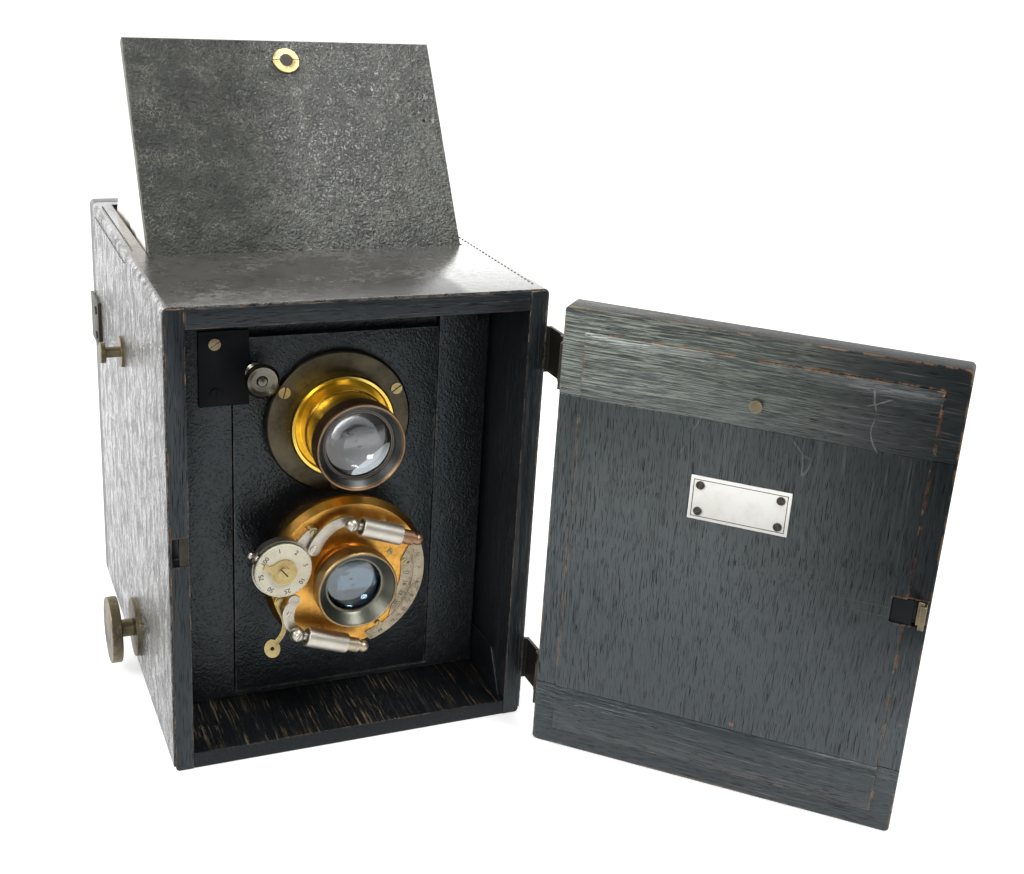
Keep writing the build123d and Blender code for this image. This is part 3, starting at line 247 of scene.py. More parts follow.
class Shader(Graph):
    """Builds one material around its Principled shader."""

    def __init__(self, name):
        self.material = bpy.data.materials.new(name)
        self.material.use_nodes = True
        super().__init__(self.material.node_tree, "Object")
        self.bsdf = self.tree.nodes["Principled BSDF"]

    def facing(self):
        """The surface's own normal."""
        return self.tree.nodes.new("ShaderNodeNewGeometry").outputs["Normal"]

    def upward(self):
        """1 on faces that look up, 0 on the rest."""
        return self.rise(self.parts(self.facing())[2], 0.5, 0.9)

    def edges(self, width):
        """1 on outer and inner edges, falling to 0 a width away."""
        bevel = self.tree.nodes.new("ShaderNodeBevel")
        bevel.samples = 6
        bevel.inputs["Radius"].default_value = width
        along = self.vector("DOT_PRODUCT", bevel.outputs["Normal"], self.facing())
        return self.times(self.minus(1.0, along), 6.0, clamp=True)

    def bump(self, height, distance, strength=1.0, normal=None):
        n = self.tree.nodes.new("ShaderNodeBump")
        n.inputs["Distance"].default_value = distance
        n.inputs["Strength"].default_value = strength
        self.put(n.inputs["Height"], height)
        if normal is not None:
            self.put(n.inputs["Normal"], normal)
        return n.outputs["Normal"]

    def finish(self, colour, rough, metallic=0.0, normal=None, coat=0.0, coat_rough=0.1,
               specular=0.5, **more):
        """Fills in the Principled shader; more sets other inputs by name."""
        self.put(self.bsdf.inputs["Base Color"], colour)
        self.put(self.bsdf.inputs["Roughness"], rough)
        self.put(self.bsdf.inputs["Metallic"], metallic)
        self.put(self.bsdf.inputs["Coat Weight"], coat)
        self.bsdf.inputs["Coat Roughness"].default_value = coat_rough
        self.put(self.bsdf.inputs["Specular IOR Level"], specular)
        for name, value in more.items():
            self.bsdf.inputs[name.replace("_", " ")].default_value = value
        if normal is not None:
            self.put(self.bsdf.inputs["Normal"], normal)
            if not isinstance(coat, float) or coat > 0:
                self.put(self.bsdf.inputs["Coat Normal"], normal)
        return self.material


WHITE = (1.0, 1.0, 1.0, 1.0)
COOL = (0.86, 0.96, 1.0, 1.0)          # tint of the light that ebonised parts reflect
DARK = (0.0055, 0.0067, 0.0082)        # ebonised wood
PIT_SHADE = (0.004, 0.004, 0.004)            # near-black: painted shade in the leather's hollows and creases, and the wood's pores, partly painted shade


def grey(value):
    """One number for red, green and blue alike."""
    return (value,) * 3


def scaled(values, factor):
    """A colour or a scale with every number multiplied."""
    return tuple(factor * v for v in values)


def lengthwise(axis, slow, fast):
    """Scale per axis that draws a pattern out along one axis letter."""
    return tuple(slow if letter == axis else fast for letter in "xyz")


def leather(name, grain=620.0, depth=0.00035, gloss=0.36, wear=0.6, scuff=0.5, coat=0.0, crackle=0.0,
            mottle=0.3, base=(0.012, 0.0125, 0.0125), dust=(0.15, 0.145, 0.13), divide=None,
            creased=False, tint=WHITE):
    """Black pebbled leather, wrinkled, scuffed pale and worn at its edges.

    crackle adds dusty cracks. divide is (x, softness, dull share), and everything left of that x is
    duller. creased breaks the shine with upright creases and paints them near-black as painted shade.
    The hollows between the pebbles always get painted shade.
    """
    s = Shader(name)
    specular = 0.75 if creased else 0.5
    pebble = s.cells(grain, s.warped(90.0, 0.006), smooth=0.35)
    wrinkle = s.fade_in(s.noise(150.0, 4, 0.62, s.warped(40.0, 0.01)), 0.38, 0.52)
    height = s.mix(0.4, s.fade_out(pebble, 0.05, 0.55), wrinkle)
    patches = s.noise(26.0, 5, 0.65)
    broad = s.fade_in(s.noise(11.0, 4, 0.6), 0.36, 0.64)
    scuffs = s.fade_in(s.times(s.noise(420.0, 6, 0.72), patches), 0.27, 0.37)
    scuffs = s.times(scuffs, scuff)
    rim = s.times(s.edges(0.0013), s.fade_in(s.noise(110.0, 5, 0.7), 0.42, 0.60))
    colour = s.mix(s.times(broad, mottle), base, scaled(base, 4.0))
    # painted shade: the hollows between the pebbles are darkened towards near-black
    colour = s.mix(s.times(s.fade_out(height, 0.0, 0.35), 0.5), colour, PIT_SHADE)
    if crackle:
        net = s.cells(grain * 0.8, s.warped(260.0, 0.006), feature="DISTANCE_TO_EDGE")
        some = s.fade_in(s.noise(75.0, 6, 0.75), 0.45, 0.58)
        lines = s.times(s.fade_out(net, 0.0, 0.06), some)
        colour = s.mix(s.times(lines, crackle), colour, dust)
        height = s.mix(0.25, height, s.fade_in(net, 0.0, 0.16))
    colour = s.mix(scuffs, colour, dust)
    colour = s.mix(s.times(rim, wear), colour, (0.20, 0.18, 0.15))
    rough = s.mix(scuffs, s.mix(broad, grey(gloss), grey(gloss + 0.14)), grey(0.7))
    if divide:
        at, soft, dull = divide
        ragged = s.times(s.minus(s.noise(28.0, 5, 0.65), 0.5), 0.030)
        bright = s.rise(s.plus(s.parts(s.position)[0], ragged), at - soft, at + soft)
        specular = s.plus(s.times(bright, 0.25), 0.34)
        coat = s.plus(s.times(bright, coat * (1 - dull)), coat * dull)
    if creased:
        crease = s.noise(170.0, 5, 0.72, s.stretched((1.0, 1.0, 0.5), s.warped(60.0, 0.004)))
        # painted shade: the creases are painted near-black
        colour = s.mix(s.fade_out(crease, 0.36, 0.44), colour, PIT_SHADE)
        coat = s.times(s.ramp(crease, (0.38, 0.25), (0.56, 1.0)), coat)
        height = s.mix(0.5, height, s.fade_in(crease, 0.36, 0.50))
    normal = s.bump(height, depth)
    normal = s.bump(s.noise(2600.0, 2, 0.6), 0.00008, 0.5, normal)
    return s.finish(colour, rough, normal=normal, specular=specular, coat=coat, coat_rough=gloss - 0.1,
                    Specular_Tint=tint, Coat_Tint=tint)


def door_place(s):
    """Moves a shader's patterns into the door's axes; returns the places along and up the door."""
    offset = s.vector("SUBTRACT", s.position, tuple(DOOR_PIN))
    across = s.vector("DOT_PRODUCT", offset, tuple(DOOR_ALONG))
    inward = s.vector("DOT_PRODUCT", offset, tuple(DOOR_IN))
    up = s.parts(s.position)[2]
    s.position = s.joined(across, inward, up)
    return across, up


def door_scars(s, colour, up):
    """Curved cracks in the upper door and small brown nicks all over it."""
    arcs = s.fade_out(s.cells(30.0, s.warped(22.0, 0.03), feature="DISTANCE_TO_EDGE"), 0.0, 0.010)
    arcs = s.times(arcs, s.fade_in(s.noise(34.0, 3, 0.6), 0.56, 0.64, 0.45))
    colour = s.mix(s.times(arcs, s.rise(up, 0.115, 0.150)), colour, (0.32, 0.32, 0.29))
    nicks = s.times(s.fade_out(s.cells(85.0), 0.06, 0.10), s.fade_in(s.noise(24.0, 2), 0.60, 0.66, 0.9))
    return s.mix(nicks, colour, (0.24, 0.10, 0.045))


def wood(name, along, gloss=0.30, wear=1.0, scratch=0.4, dust=0.25, base=DARK, coat=0.2, specular=0.5,
         flecks=0.0, door=False):
    """Ebonised wood, worn brown at its edges; along is the axis letter that the grain follows.

    dust is how much lies in the grain, and flecks how much pale dirt lies on faces that look up.
    door takes the door's own axes, and adds its wear, its painted shade (cooler low down, darker
    towards the free edge, the top and on faces that look up) and painted highlights on the top cleat's grain.
    """
    s = Shader(name)
    if door:
        across, up = door_place(s)
        # painted shade: the door's wood gets darker towards its free edge and its top
        dim = s.times(s.rise(across, 0.070, 0.150), s.rise(up, 0.030, 0.110))
    scale = lengthwise(along, 22.0, 900.0)
    wavy = s.warped(14.0, 0.0035)
    grain = s.noise(1.0, 3, 0.6, s.stretched(scale, wavy))
    broad = s.noise(0.16, 2, 0.5, s.stretched(scale, wavy))
    height = s.mix(0.35, s.fade_in(grain, 0.30, 0.42), broad)
    patches = s.noise(30.0, 4, 0.6)
    colour = s.mix(broad, base, scaled(base, 1.3))
    if door:
        # painted shade: the lower door is painted cooler and darker, and the dim part near-black
        colour = s.mix(s.times(s.rise(up, 0.150, 0.060), 0.7), colour, (0.0125, 0.0175, 0.0225))
        colour = s.mix(s.times(dim, 0.8), colour, (0.004, 0.006, 0.008))
    lift = s.times(s.fade_in(grain, 0.56, 0.70), dust)
    lift = s.times(lift, s.ramp(s.noise(16.0, 4, 0.65), (0.40, 0.15), (0.62, 1.0)))
    colour = s.mix(lift, colour, (0.11, 0.105, 0.09))
    # painted highlight: pale streaks along the top cleat's grain, near the hinge and high on the door
    if door and along == "x":
        fine = s.noise(1.0, 4, 0.7, s.stretched(scaled(scale, 2.2), wavy))
        painted_highlight_area = s.times(s.rise(across, 0.120, 0.020), s.rise(up, 0.140, 0.165))
        painted_highlight_streak = s.times(painted_highlight_area, s.fade_in(fine, 0.46, 0.60))
        colour = s.mix(s.times(painted_highlight_streak, 0.75), colour, (0.36, 0.365, 0.28))
    if door:
        colour = door_scars(s, colour, up)
    # the wood's pores: dark dashes sunk into the bump, their darkness partly painted shade
    dashes = s.noise(1.0, 2, 0.5, s.stretched(lengthwise(along, 130.0, 4600.0), wavy))
    dashes = s.fade_out(dashes, 0.35, 0.41)
    colour = s.mix(s.times(dashes, 0.75), colour, PIT_SHADE)
    height = s.mix(s.times(dashes, 0.6), height, grey(0.0))
    scratches = s.noise(1.0, 4, 0.75, s.stretched(lengthwise(along, 9.0, 420.0), s.warped(7.0, 0.012)))
    marked = s.times(s.fade_in(patches, 0.45, 0.6), scratch)
    scratches = s.times(s.fade_in(scratches, 0.66, 0.70), marked)
    colour = s.mix(scratches, colour, (0.12, 0.07, 0.04))
    if flecks:
        spots = s.noise(1.0, 3, 0.6, s.stretched(scaled(scale, 1.25), s.warped(60.0, 0.002)))
        spots = s.times(s.fade_in(spots, 0.56, 0.64, flecks), s.fade_in(s.noise(45.0, 4, 0.7), 0.40, 0.58))
        colour = s.mix(s.times(spots, s.upward()), colour, (0.17, 0.125, 0.075))
    ragged = s.times(s.fade_in(s.noise(150.0, 6, 0.75), 0.47, 0.60), wear)
    rim = s.times(s.edges(0.0016 if door else 0.0010), ragged, clamp=True)
    if door:
        for seam in (DOOR_BOARD_LOW, DOOR_BOARD_HIGH):
            away = s.math("ABSOLUTE", s.minus(up, seam))
            rim = s.times(rim, s.rise(away, 0.0016, 0.0024))
    bare = s.mix(s.fade_in(s.noise(60.0), 0.4, 0.6), (0.14, 0.055, 0.024), (0.34, 0.20, 0.11))
    colour = s.mix(rim, colour, bare)
    polish = s.mix(patches, grey(gloss), grey(gloss + 0.14))
    rough = s.mix(s.larger(rim, scratches), polish, grey(0.6))
    normal = s.bump(height, 0.00022)
    normal = s.bump(s.noise(60.0, 2), 0.0006, 0.25, normal)
    shine = s.minus(1.0, s.times(dashes, 0.75))
    if door:
        topmost = s.upward()
        dull = s.larger(s.times(dim, 0.85), s.times(topmost, 0.9))
        dull = s.larger(dull, s.times(s.rise(up, 0.090, 0.010), 0.25))
        shine = s.times(shine, s.minus(1.0, dull))
        # painted shade: the door's faces that look up are painted darker
        colour = s.mix(s.times(topmost, 0.7), colour, (0.006, 0.006, 0.0065))
    return s.finish(colour, rough, normal=normal, specular=s.times(shine, specular),
                    coat=s.times(shine, coat), coat_rough=gloss * 0.7, Specular_Tint=COOL, Coat_Tint=COOL)


def metal(name, colour, dark, rough=0.28, patina=0.5, lathe=None, edge=0.5, inside=None, satin=0.00004):
    """Metal with patina; edge is how bright its edges are worn.

    lathe is the (x, z) of an axis along y that turning marks run round, and inside the (radius,
    colour) of a differently finished bore.
    """
    s = Shader(name)
    blotch = s.noise(85.0, 5, 0.65)
    fine = s.noise(900.0, 4, 0.6)
    tone = s.mix(s.fade_in(blotch, 0.35, 0.70), colour, dark)
    spots = s.times(s.fade_in(s.times(fine, blotch), 0.27, 0.36), patina)
    tone = s.mix(spots, tone, (0.06, 0.045, 0.03))
    if lathe:
        radius = s.vector("DISTANCE", s.stretched((1.0, 0.0, 1.0)), (lathe[0], 0.0, lathe[1]))
        if inside:
            tone = s.mix(s.rise(radius, inside[0] + 0.0002, inside[0] - 0.0002), tone, inside[1])
        turned = s.joined(s.times(radius, 5200.0), s.times(s.parts(s.position)[1], 5200.0))
        marks = s.noise(1.0, 2, 0.5, turned)
    else:
        marks = s.noise(1.0, 2, 0.5, s.stretched(grey(900)))
    normal = s.bump(marks, satin, 0.5)
    normal = s.bump(fine, 0.00003, 0.4, normal)
    worn = tuple(min(1.0, 1.5 * c + 0.05) for c in colour)
    tone = s.mix(s.times(s.edges(0.0005), edge), tone, worn)
    shade = s.mix(spots, s.mix(blotch, grey(rough), grey(rough + 0.15)), grey(0.6))
    return s.finish(tone, shade, metallic=1.0, normal=normal)


def clear_glass(name, tint, rough=0.02, coat=0.0, shine=WHITE):
    """Glass with a faint haze; shine tints what it reflects, as a lens coating does."""
    s = Shader(name)
    haze = s.ramp(s.noise(160.0, 5, 0.7), (0.5, rough), (0.75, rough + 0.03))
    return s.finish(tint, haze, Transmission_Weight=1.0, IOR=1.62, specular=0.8, coat=coat, coat_rough=0.02,
                    Coat_IOR=1.9, Specular_Tint=shine, Coat_Tint=shine)


def plain(name, colour, rough, metallic=0.0, depth=0.00004, dirt=(0.2, 0.17, 0.12), soil=0.3, specular=0.5):
    """One colour, fine-grained and a little soiled."""
    s = Shader(name)
    blotch = s.noise(120.0, 5, 0.68)
    fine = s.noise(900.0, 4, 0.6)
    tone = s.mix(s.times(s.fade_in(blotch, 0.45, 0.72), soil), colour, dirt)
    shade = s.mix(fine, grey(rough), grey(min(1.0, rough + 0.12)))
    return s.finish(tone, shade, metallic=metallic, normal=s.bump(fine, depth, 0.6), specular=specular)


# ---------------------------------------------------- every finish, by its short name
M = {
    "case_leather": leather("case_leather", scuff=0.3, coat=0.3),
    "side_leather": leather("side_leather", grain=360.0, depth=0.0017, gloss=0.24, coat=0.95, creased=True),
    "lid_leather": leather("lid_leather", grain=600.0, depth=0.0006, gloss=0.40, wear=0.9, scuff=0.25,
                           crackle=0.8, base=(0.0150, 0.0170, 0.0130), dust=(0.20, 0.20, 0.16),
                           mottle=0.35, coat=0.70, divide=(-0.010, 0.012, 0.22)),
    "board_leather": leather("board_leather", grain=820.0, depth=0.00024, gloss=0.30, wear=0.7,
                             scuff=0.1, base=DARK, mottle=0.2, tint=COOL),
    "deck": leather("deck_leather", grain=300.0, depth=0.00003, gloss=0.13, wear=0.9, scuff=0.6,
                    base=(0.024, 0.023, 0.021), coat=1.0, mottle=0.5, divide=(0.040, 0.0025, 0.30)),
    "bellows": leather("bellows_leather", grain=1400.0, depth=0.00012, gloss=0.6, wear=0.3, scuff=0.2),
    "cream": plain("cream_leather", (0.80, 0.76, 0.68), 0.6, depth=0.0002, soil=0.2,
                   dirt=(0.55, 0.42, 0.28)),
    "lining": plain("lining", (0.30, 0.22, 0.135), 0.7, depth=0.0001, soil=0.4, dirt=(0.12, 0.08, 0.05)),
    "thread": plain("thread", (0.05, 0.046, 0.038), 0.85, soil=0.5, dirt=(0.16, 0.14, 0.12)),
    # painted light: the door's woods have a lighter base than the box's ebonised wood, for the light that
    # falls on the open door; the cleats' heavier pale grain is partly dust and partly painted highlight
    "door_x": wood("door_across", "x", dust=0.8, wear=2.4, base=(0.023, 0.024, 0.020), coat=0.8, door=True),
    "door_z": wood("door_upright", "z", dust=0.3, wear=2.4, scratch=0.2, base=(0.022, 0.0235, 0.0215),
                   coat=0.9, gloss=0.32, door=True),
    "wood_x": wood("wood_across", "x", dust=0.35, wear=1.5, coat=0.1, specular=0.4),
    "wood_y": wood("wood_deep", "y", scratch=0.7),
    "wood_z": wood("wood_upright", "z", dust=0.3, gloss=0.34),
    "floor_wood": wood("wood_floor", "y", scratch=0.5, dust=0.3, flecks=0.8, coat=0.0, specular=0.3),
    "wall_wood": wood("wood_walls", "z", scratch=0.9, wear=1.3, coat=0.15, specular=0.45),
    "olive_flange": metal("olive_flange", (0.105, 0.090, 0.060), (0.055, 0.048, 0.034), 0.34,
                          lathe=VIEW, patina=0.4),
    "bright_brass": metal("bright_brass", (0.92, 0.69, 0.17), (0.76, 0.53, 0.10), 0.13,
                          lathe=VIEW, patina=0.10, inside=(0.0166, grey(0.01))),
    "brown_cell": metal("brown_cell", (0.25, 0.155, 0.085), (0.13, 0.083, 0.05), 0.28,
                        lathe=VIEW, patina=0.35, edge=0.9, inside=(0.0169, (0.050, 0.055, 0.055))),
    "gold_case": metal("gold_case", (0.80, 0.44, 0.10), (0.58, 0.28, 0.055), 0.24,
                       lathe=TAKE, patina=0.22, inside=(0.0139, grey(0.01))),
    "grey_hood": metal("grey_hood", (0.36, 0.235, 0.10), (0.17, 0.12, 0.06), 0.30,
                       lathe=TAKE, patina=0.5, edge=0.8, inside=(0.0161, (0.13, 0.135, 0.11))),
    "scales": metal("scale_metal", (0.46, 0.40, 0.29), (0.30, 0.255, 0.18), 0.36, lathe=TAKE, patina=0.4),
    "nickel": metal("nickel", (0.56, 0.53, 0.46), (0.38, 0.35, 0.29), 0.33, patina=0.15, satin=0.00002),
    "nickel_tube": metal("nickel_tube", (0.66, 0.63, 0.55), (0.54, 0.50, 0.43), 0.38,
                         patina=0.1, satin=0.00001),
    "copper": metal("copper_brown", (0.50, 0.30, 0.18), (0.34, 0.19, 0.11), 0.36,
                    patina=0.3, satin=0.00001),
    "pale_brass": metal("pale_brass", (0.62, 0.54, 0.40), (0.46, 0.39, 0.28), 0.36,
                        patina=0.2, satin=0.00001),
    "brass": metal("aged_brass", (0.50, 0.40, 0.18), (0.30, 0.225, 0.105), 0.32,
                   patina=0.25, satin=0.00002),
    "olive_brass": metal("olive_brass", (0.20, 0.165, 0.10), (0.085, 0.072, 0.05), 0.34, edge=0.9),
    "dark_brass": metal("dark_brass", (0.060, 0.055, 0.045), (0.028, 0.026, 0.024), 0.38,
                        patina=0.4, edge=0.8),
    "blued": metal("blued_blades", (0.05, 0.055, 0.07), (0.03, 0.032, 0.04), 0.35),
    "knob_dark": metal("knob_dark", (0.17, 0.16, 0.13), (0.09, 0.085, 0.07), 0.14,
                       patina=0.05, edge=0.9, satin=0.0),
    "black_metal": plain("black_metal", (0.006, 0.007, 0.009), 0.50, soil=0.25,
                         dirt=(0.02, 0.019, 0.018), specular=0.12),
    "white_plate": plain("white_plate", (0.74, 0.735, 0.70), 0.35, soil=0.35, dirt=(0.5, 0.45, 0.36)),
    "dial_face": plain("dial_face", (0.74, 0.70, 0.55), 0.40, soil=0.35, dirt=(0.40, 0.35, 0.24)),
    "engraving": plain("engraving", (0.035, 0.028, 0.02), 0.6, soil=0.0),
    "mirror": plain("mirror_silver", (0.86, 0.87, 0.87), 0.03, metallic=1.0, depth=0.0, soil=0.05),
    "lens_glass": clear_glass("lens_glass", (0.90, 0.93, 0.97), coat=0.5),
    "blue_glass": clear_glass("blue_glass", (0.84, 0.92, 0.98), coat=1.0, shine=(0.80, 0.91, 0.97, 1.0)),
    "ground_glass": clear_glass("ground_glass", (0.86, 0.88, 0.87), rough=0.45),
}

# Finish of each CAD node
CAD_FINISH = {
    "case_leather": "back_door door_leather",
    "side_leather": "body_leather",
    "lid_leather": "hood_lid",
    "board_leather": "lens_board lens_standard",
    "bellows": "bellows",
    "cream": "hood_gussets",
    "door_x": "door_cleats",
    "door_z": "door_board",
    "wood_x": "screen_frame top_boards",
    "wood_y": "carriage_rails",
    "wood_z": "plate_frame chamber_partition dark_slide",
    "floor_wood": "base_board",
    "wall_wood": "side_board_left side_board_right",
    "olive_flange": "viewing_flange",
    "bright_brass": "viewing_barrel",
    "brown_cell": "viewing_cell",
    "gold_case": "shutter_case",
    "grey_hood": "taking_cell",
    "scales": "scale_plates",
    "nickel": "dial_drum upper_lever lower_lever upper_piston lower_piston focus_shaft",
    "nickel_tube": "shutter_cylinders",
    "brass": "tripod_bush focus_racks lid_catch_ring release_lever dial_pointer lens_screws",
    "olive_brass": "focus_knob side_stud side_bushes latch_bolt",
    "dark_brass": "side_ironwork body_screws hinge_pins door_hinge_leaves door_screws lid_catch_button"
                  " strike_plate",
    "blued": "shutter_blade_left shutter_blade_right",
    "knob_dark": "clamp_knob",
    "black_metal": "clamp_plate latch_plate",
    "white_plate": "nameplate",
    "dial_face": "speed_dial",
    "mirror": "reflex_mirror",
    "lens_glass": "viewing_lenses",
    "blue_glass": "taking_lenses",
    "ground_glass": "ground_glass",
}


def dress(obj, material):
    """Gives an object one material and no other."""
    obj.data.materials.clear()
    obj.data.materials.append(material)


for finish_name, nodes in CAD_FINISH.items():
    for node in nodes.split():
        dress(frame["nodes"][node], M[finish_name])


# ---------------------------------------------------- faces with a second finish
def paint(node, finish_name, chosen):
    """Gives some faces of a CAD node a second finish; chosen takes a face's middle and normal."""
    obj = frame["nodes"][node]
    obj.data.materials.append(M[finish_name])
    last = len(obj.data.materials) - 1
    for face in obj.data.polygons:
        if chosen(face.center, face.normal):
            face.material_index = last


def on_top(at, normal, top):
    """Whether a face is part of a node's flat top."""
    return normal.z > 0.9 and at.z > top - 0.5 * MM


paint("body_leather", "deck", lambda at, normal: on_top(at, normal, TOP_Z))
for board in ("side_board_left", "side_board_right"):
    board_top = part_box(board)[1].z
    paint(board, "lining", lambda at, normal: on_top(at, normal, board_top))
paint("door_screws", "olive_brass", lambda at, normal: at.z > DOOR_BOARD_HIGH)

# The clamp plate's upper screw, which stands out of the plate
CLAMP_PLATE_THICK = 2.0 * MM
UPPER_SCREW_REACH = 12 * MM
CLAMP_PLATE_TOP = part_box("clamp_plate")[1].z
paint("clamp_plate", "olive_brass", lambda at, normal: (
    at.y < BOARD_Y - CLAMP_PLATE_THICK - 0.05 * MM and at.z > CLAMP_PLATE_TOP - UPPER_SCREW_REACH))

# Floors of the screws' slots: faces that look forward and aren't a head's top. The tops stand
# this far in front of the lens board.
HEAD_TOPS = [3.9 * MM, 22.9 * MM, 20.1 * MM, 19.5 * MM]
SLOT_SLACK = 0.1 * MM
POINTER_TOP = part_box("dial_pointer")[0].y
POINTER_SLOT_DEPTH = 0.7 * MM
paint("lens_screws", "engraving", lambda at, normal: (
    normal.y < -0.9 and min(abs(BOARD_Y - at.y - top) for top in HEAD_TOPS) > SLOT_SLACK))
paint("dial_pointer", "engraving", lambda at, normal: (
    normal.y < -0.9 and SLOT_SLACK < at.y - POINTER_TOP < POINTER_SLOT_DEPTH))

# The stepped hose nipple that closes each air cylinder; its place along the axis is from the ball
BALL_RADIUS = 3.1 * MM
NIPPLE_START = 21.2 * MM
CYLINDER_REACH = 20 * MM
CYLINDER_AXIS = -Vector(joint("upper_piston_slide")["axis"])
for piston, tone in (("upper_piston", "copper"), ("lower_piston", "pale_brass")):
    low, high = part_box(piston)
    nipple = Vector((low.x, 0, high.z)).dot(CYLINDER_AXIS) + BALL_RADIUS + NIPPLE_START
    middle = (low.z + high.z) / 2
    paint("shutter_cylinders", tone, lambda at, normal: (
        Vector((at.x, 0, at.z)).dot(CYLINDER_AXIS) > nipple and abs(at.z - middle) < CYLINDER_REACH))

# ---------------------------------------------------- softened edges, widths in mm
ROUNDED = {
    0.08: "scale_plates",
    0.1: "speed_dial dial_pointer",
    0.12: "nameplate",
    0.15: "side_ironwork door_hinge_leaves strike_plate upper_lever lower_lever release_lever"
          " viewing_flange lid_catch_ring",
    0.2: "clamp_plate latch_plate body_leather",
    0.25: "latch_bolt",
    0.3: "door_board door_cleats door_leather carriage_rails",
    0.4: "side_board_left side_board_right base_board top_boards screen_frame",
    0.5: "lens_standard lens_board back_door",
    0.6: "hood_lid",
}
BEVEL_ANGLE = math.radians(40)
SMOOTH_ANGLE = math.radians(35)


def soften(obj, width):
    """Rounds a CAD node's sharp edges for the render and smooths its shading."""
    weld = obj.modifiers.new("weld", "WELD")
    weld.merge_threshold = 1e-6
    bevel = obj.modifiers.new("soft_edges", "BEVEL")
    bevel.width = width
    bevel.segments = 3
    bevel.limit_method = "ANGLE"
    bevel.angle_limit = BEVEL_ANGLE
    bevel.use_clamp_overlap = True
    bevel.harden_normals = False
    bpy.context.view_layer.objects.active = obj
    with bpy.context.temp_override(object=obj, active_object=obj, selected_objects=[obj],
                                   selected_editable_objects=[obj]):
        bpy.ops.mesh.customdata_custom_splitnormals_clear()
        bpy.ops.object.shade_smooth_by_angle(angle=SMOOTH_ANGLE)


for width, nodes in ROUNDED.items():
    for node in nodes.split():
        soften(frame["nodes"][node], width * MM)


# ================================================================== new pieces
def piece(name, verts, faces, body, finish_name, smooth=True):
    """A mesh made here, in the row frame; it rides on a CAD body unless body is None."""
    mesh = bpy.data.meshes.new(name)
    mesh.from_pydata([tuple(v) for v in verts], [], faces)
    mesh.validate()
    if smooth:
        mesh.shade_smooth()
    else:
        mesh.shade_flat()
    obj = bpy.data.objects.new(name, mesh)
    bpy.context.collection.objects.link(obj)
    dress(obj, M[finish_name])
    if body:
        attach(obj, body)
    return obj


def grid(rows, columns):
    """Faces of a grid of rows by columns points."""
    return [(i * columns + j, i * columns + j + 1, (i + 1) * columns + j + 1, (i + 1) * columns + j)
            for i in range(rows - 1) for j in range(columns - 1)]


# Leather webs between the lid's edges and the box, creased where they fold in
WEB_FOOT = LID_PIN + Vector((0, 0.0045, -0.0040))
WEB_REAR = Vector((0, 0.0782, 0.1878))
WEB_TIP = LID @ Vector((0, 0.089, -0.0042))
WEB_ROWS, WEB_COLUMNS = 42, 60
WEB_END = 0.985            # share of the way to the tip, where the web stops
WEB_INSET = 0.8 * MM       # the unfolded web, in from the CAD gusset's outer face
FOLD_AT, FOLD_WIDTH, FOLD_DEPTH = 0.62, 0.36, 5.5 * MM
WRINKLE_DEPTH = 0.35 * MM
SWELL_AT, SWELL_WIDTH = 0.09, 0.07
FOOT_OUT, FOOT_BAND = 1.1 * MM, 0.05
SAG = 0.8 * MM


def web_point(u, v, x, inward):
    """A web's point at share u of the way from front to rear and v of the way up."""
    arch = math.sin(math.pi * u)
    p = (1 - v) * ((1 - u) * WEB_FOOT + u * WEB_REAR) + v * WEB_TIP
    crease = max(0.0, 1 - abs(u - FOLD_AT) / FOLD_WIDTH) ** 1.2 * (1 - v) ** 0.35
    swell = math.exp(-((v - SWELL_AT) / SWELL_WIDTH) ** 2) * arch ** 0.5
    wrinkle = WRINKLE_DEPTH * math.sin(31 * u + 9 * v) * arch * (1 - v)
    fold = FOLD_DEPTH * crease * (1 - swell) + wrinkle
    p.x = x + inward * (fold - FOOT_OUT * math.exp(-(v / FOOT_BAND) ** 2))
    p.z -= SAG * arch * v * (1 - v)
    return p


GUSSET_LOW, GUSSET_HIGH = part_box("hood_gussets")
for side, x, inward in (("left", GUSSET_LOW.x + WEB_INSET, 1), ("right", GUSSET_HIGH.x - WEB_INSET, -1)):
    verts = [web_point(j / (WEB_COLUMNS - 1), WEB_END * i / (WEB_ROWS - 1), x, inward)
             for i in range(WEB_ROWS) for j in range(WEB_COLUMNS)]
    web = piece(f"hood_web_{side}", verts, grid(WEB_ROWS, WEB_COLUMNS), "body", "cream")
    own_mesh(web)
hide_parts("hood_gussets")

# Pleated bellows, one behind each lens
BELLOWS_LOW, BELLOWS_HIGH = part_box("bellows")
BELLOWS_HALF_X = (BELLOWS_HIGH.x - BELLOWS_LOW.x) / 2
LOWER_HALF, UPPER_HALF = 37.5 * MM, 34.5 * MM
BELLOWS_PLEATS = 9
BELLOWS_STEPS = 4 * BELLOWS_PLEATS
PLEAT_DEPTH = 3.9 * MM
BELLOWS_CLEAR = 0.15 * MM
SKIN = 0.9 * MM
BELLOWS_CORNER = 4.0 * MM
CORNER_POINTS = 5


def ring(middle_z, half_x, half_z, y, corner):
    """A rounded rectangle across the box."""
    points = []
    for quarter, (sx, sz) in enumerate(((1, 1), (-1, 1), (-1, -1), (1, -1))):
        for k in range(CORNER_POINTS):
            a = math.radians(90 * quarter + 90 * k / (CORNER_POINTS - 1))
            points.append(Vector((LENS_X + sx * (half_x - corner) + corner * math.cos(a), y,
                                  middle_z + sz * (half_z - corner) + corner * math.sin(a))))
    return points


